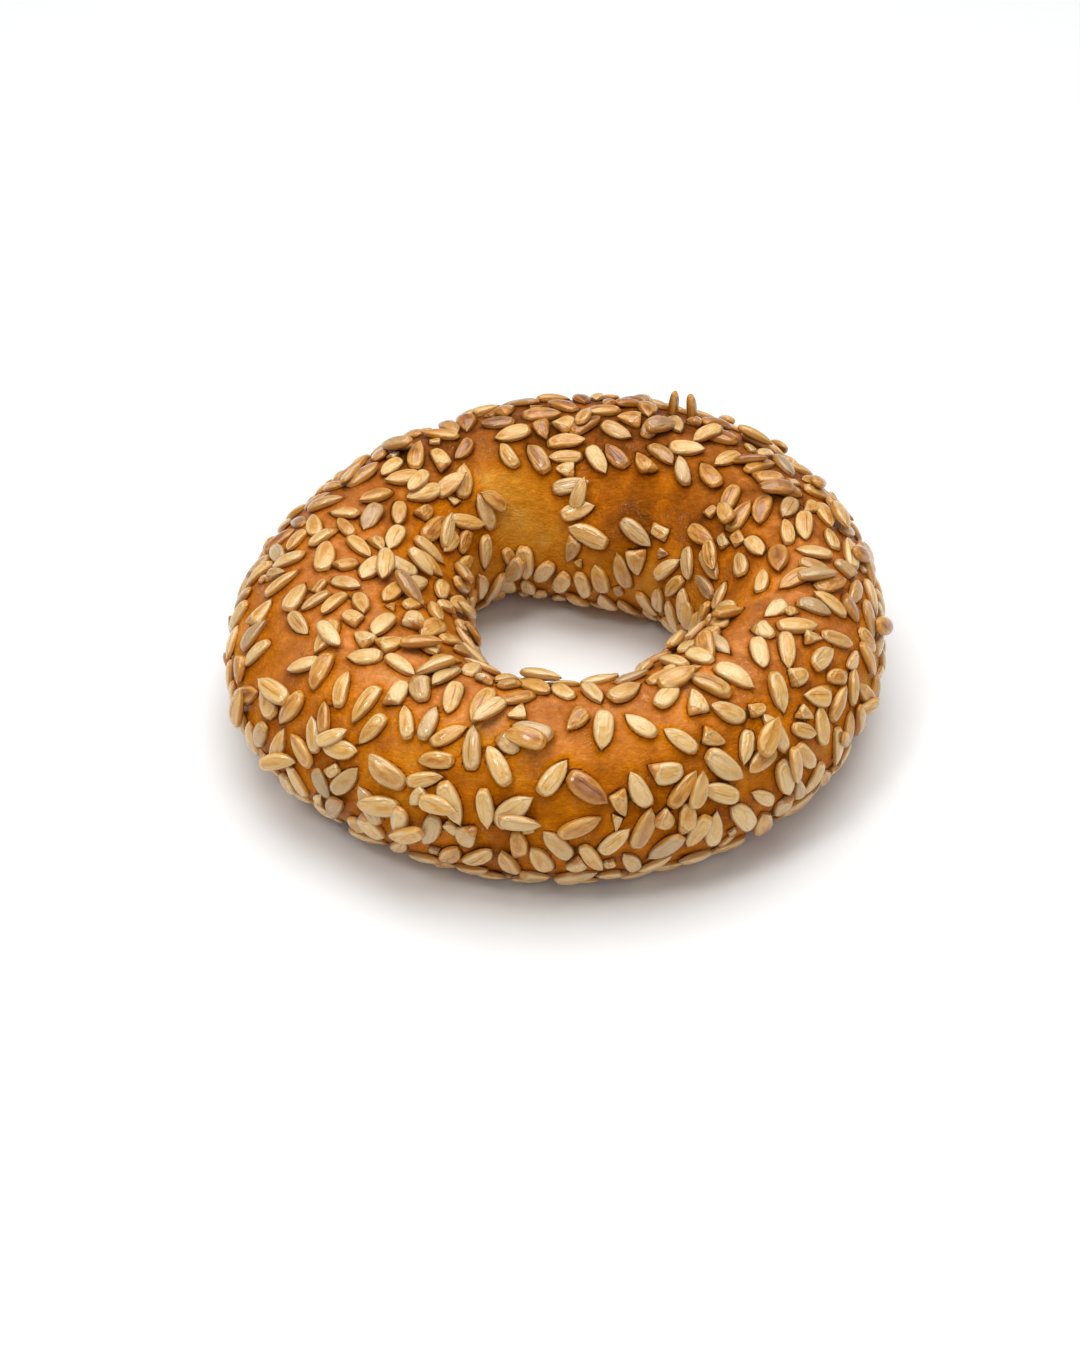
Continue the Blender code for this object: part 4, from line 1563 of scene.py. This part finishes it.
# %% Colours of the crust
CRUST_STOPS = (
    (0.0, (0.80, 0.45, 0.12)),
    (0.20, (0.77, 0.30, 0.022)),
    (0.38, (0.64, 0.180, 0.001)),
    (0.58, (0.38, 0.092, 0.0002)),
    (0.80, (0.16, 0.033, 0.0001)),
    (1.0, (0.05, 0.011, 0.0003)),
)
# The crest's colours: a drier, tan crust, lightened by a painted sheen of the lamp above.
TAN_AND_SHEEN_STOPS = (
    (0.0, (0.86, 0.52, 0.22)),
    (0.20, (0.84, 0.40, 0.165)),
    (0.38, (0.72, 0.265, 0.082)),
    (0.58, (0.46, 0.135, 0.022)),
    (0.80, (0.20, 0.046, 0.002)),
    (1.0, (0.06, 0.012, 0.0005)),
)
GOLD_STOPS = (
    (0.0, (0.74, 0.42, 0.10)),
    (0.3, (0.68, 0.27, 0.022)),
    (0.5, (0.52, 0.165, 0.001)),
    (0.75, (0.26, 0.068, 0.0005)),
    (1.0, (0.08, 0.018, 0.0003)),
)
# The pale flecks: painted glints on the glaze, with pale specks of the crust.
FLECK_COLOUR = (0.90, 0.60, 0.31, 1.0)
print("ramps:", len(CRUST_STOPS), len(TAN_AND_SHEEN_STOPS), len(GOLD_STOPS), "stops")

# %% Noise in the crust
# Each noise: its stretch, its grain in metres, its detail, roughness and distortion.
CRUST_NOISES = {
    "broad": ((1.0, 1.0, 1.0), 0.016, 2.0, 0.5),
    "mottle": ((1.0, 1.0, 1.0), 0.0042, 3.0, 0.6, 0.4),
    "fine": ((1.0, 1.0, 1.0), 0.0009, 2.0, 0.6),
    "wrinkle": ((1.0, 1.0, 2.2), 0.0017, 4.0, 0.7, 2.2),
    "threads": ((1.0, 1.4, 1.4), 0.0022, 2.0, 0.6, 1.6),
    "specks": ((2.0, 1.0, 1.0), 0.0009, 1.0, 0.5, 0.8),
    "dust": ((1.0, 1.0, 1.0), 0.0075, 2.0, 0.6),
}


def crust_noises(graph):
    """The noises of the crust by name, in the piece's own coordinates."""
    place = graph.add("ShaderNodeTexCoord", {}, {}, "Object")
    return {name: stretched_noise(graph, place, *grain) for name, grain in CRUST_NOISES.items()}


grains = [round(grain[1] / MM, 1) for grain in CRUST_NOISES.values()]
print("grains from", min(grains), "to", max(grains), "mm")

# %% Threads and specks: painted glints, and pale specks
# The flecks show more and more from the first value of each to the second.
FLECK_AND_GLINT_SPANS = {
    "threads": (0.024, 0.006),  # away from the noise's middle
    "fine": (0.42, 0.60),
    "specks": (0.64, 0.72),
    "dust": (0.54, 0.68),
    "near": (0.7, 0.3),  # nearness to a kernel
}


def pale_flecks_and_glints(graph, fields):
    """Where the pale flecks show, from 0 to 1: painted glints as short threads and specks, in patches, away
    from the kernels.
    """
    measured = {**fields, "threads": graph.maths("ABSOLUTE", fields["threads"] - 0.5)}
    shown = {name: graph.between(measured[name], *span) for name, span in FLECK_AND_GLINT_SPANS.items()}
    flecks = graph.maths("MAXIMUM", shown["threads"] * shown["fine"], shown["specks"])
    return flecks * shown["dust"] * shown["near"]


# The flecks are painted glints on the glaze, with pale specks.
print("flour hangs on:", ", ".join(FLECK_AND_GLINT_SPANS))

# %% Material of the crust
UNEVEN_BAKE = {"broad": 0.66, "mottle": 0.50, "fine": 0.16}  # how far noise moves the bake to either side
STAIN_AND_SHADE_BAKE = 0.16  # browner near kernels: gathered glaze, and painted shade
GLAZE_AND_SHADOW_BAKE = 0.44  # darkest where glaze gathers against them, with a painted contact shadow
GLAZE_AND_SHADOW_SPAN = (0.80, 1.0)  # the nearness from which the glaze and the painted shadow start
CREST_NEAR = 0.8  # how much nearness takes off the crest's tan and painted sheen
FLECK_COVER = 0.45  # how much the pale flecks, painted glints, cover the crust where they show
CRUST_HEIGHTS = {"mottle": 1.6, "wrinkle": 1.2, "fine": 0.30, "flecks": 0.35}
CRUST_ROUGHNESS = (0.24, 0.38)
CRUST_FINISH = {"Specular IOR Level": 0.38, "Specular Tint": (1.0, 0.50, 0.07, 1.0)}
CRUST_RELIEF = 0.0006  # metres


def crust_material():
    """The material of the whole skin."""
    material, shader, graph = new_material("crust")
    near = attribute(graph, "near")
    fields = {**crust_noises(graph), "near": near}
    fields["flecks"] = pale_flecks_and_glints(graph, fields)
    uneven = {name: fields[name] - 0.5 for name in UNEVEN_BAKE}
    bake = attribute(graph, "bake") + sum_of(uneven, UNEVEN_BAKE)
    # Beside the kernels the crust darkens: gathered glaze, and painted shade where they meet it.
    bake = bake + near * near * STAIN_AND_SHADE_BAKE + graph.between(near, *GLAZE_AND_SHADOW_SPAN) * GLAZE_AND_SHADOW_BAKE
    # The crest's tan, partly painted sheen, gives way beside the kernels.
    crest = attribute(graph, "crest") + uneven["broad"] - near * CREST_NEAR
    colour = graph.mix(crest, ramp(graph, bake, CRUST_STOPS), ramp(graph, bake, TAN_AND_SHEEN_STOPS))
    colour = graph.mix(attribute(graph, "gold"), colour, ramp(graph, bake, GOLD_STOPS))
    graph.feed(shader, {
        "Base Color": graph.mix(fields["flecks"] * FLECK_COVER, colour, FLECK_COLOUR),
        "Roughness": graph.between(fields["mottle"], *NOISE_SPAN, *CRUST_ROUGHNESS),
        "Normal": bumped(graph, sum_of(fields, CRUST_HEIGHTS), CRUST_RELIEF),
        **CRUST_FINISH,
    })
    return material


crust_look = crust_material()
print("crust material:", len(crust_look.node_tree.nodes), "nodes")

# %% [markdown]
# ## Into the oven
# The skin's tree runs once, with both kernel pieces as its toppings, and its result becomes the crust. The
# collection of toppings and the shelves of forms have done their work, so they are cleared away.

# %% Bake the crust
NEAR_ENOUGH = 0.3  # of the stored nearness, what counts as beside a kernel

toppings = bpy.data.collections.new("toppings")
for piece in (whole_piece, broken_piece):
    toppings.objects.link(piece)
tree, identifiers = skin_tree(toppings, crust_look)
skin_sizes = {name: size * MM for name, size in SKIN_SIZES.items()}
crust = made_plain(dough, "crust", tree, identifiers, skin_sizes)
bpy.data.collections.remove(toppings)
for moulds in (whole_shelf, broken_shelf):
    for mould in list(moulds.objects):
        bpy.data.objects.remove(mould)
    bpy.data.collections.remove(moulds)
near_values = np.zeros(len(crust.data.vertices))
crust.data.attributes["near"].data.foreach_get("value", near_values)
beside = float((near_values > NEAR_ENOUGH).mean())
print("crust:", len(crust.data.polygons), "faces; beside kernels:", round(beside, 2))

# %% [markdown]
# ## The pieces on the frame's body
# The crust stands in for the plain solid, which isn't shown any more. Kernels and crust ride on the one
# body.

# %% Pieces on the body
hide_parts("bread_ring")
for piece, slot in ((crust, "crust"), (whole_piece, "kernels"), (broken_piece, "kernels")):
    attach(piece, "root")
print("pieces:", crust.name, whole_piece.name, broken_piece.name)

# %% [markdown]
# ## The size at the end
# The looks must stay in the solid's box, because others fit the bread by that box. The two boxes are
# printed one after the other.

# %% Sizes
end_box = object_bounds()
boxes = {"cad": [list(corner) for corner in cad_box], "visual": [list(corner) for corner in end_box]}
for side, box in boxes.items():
    print(side, "box:", [[round(c / MM, 1) for c in corner] for corner in box], "mm")
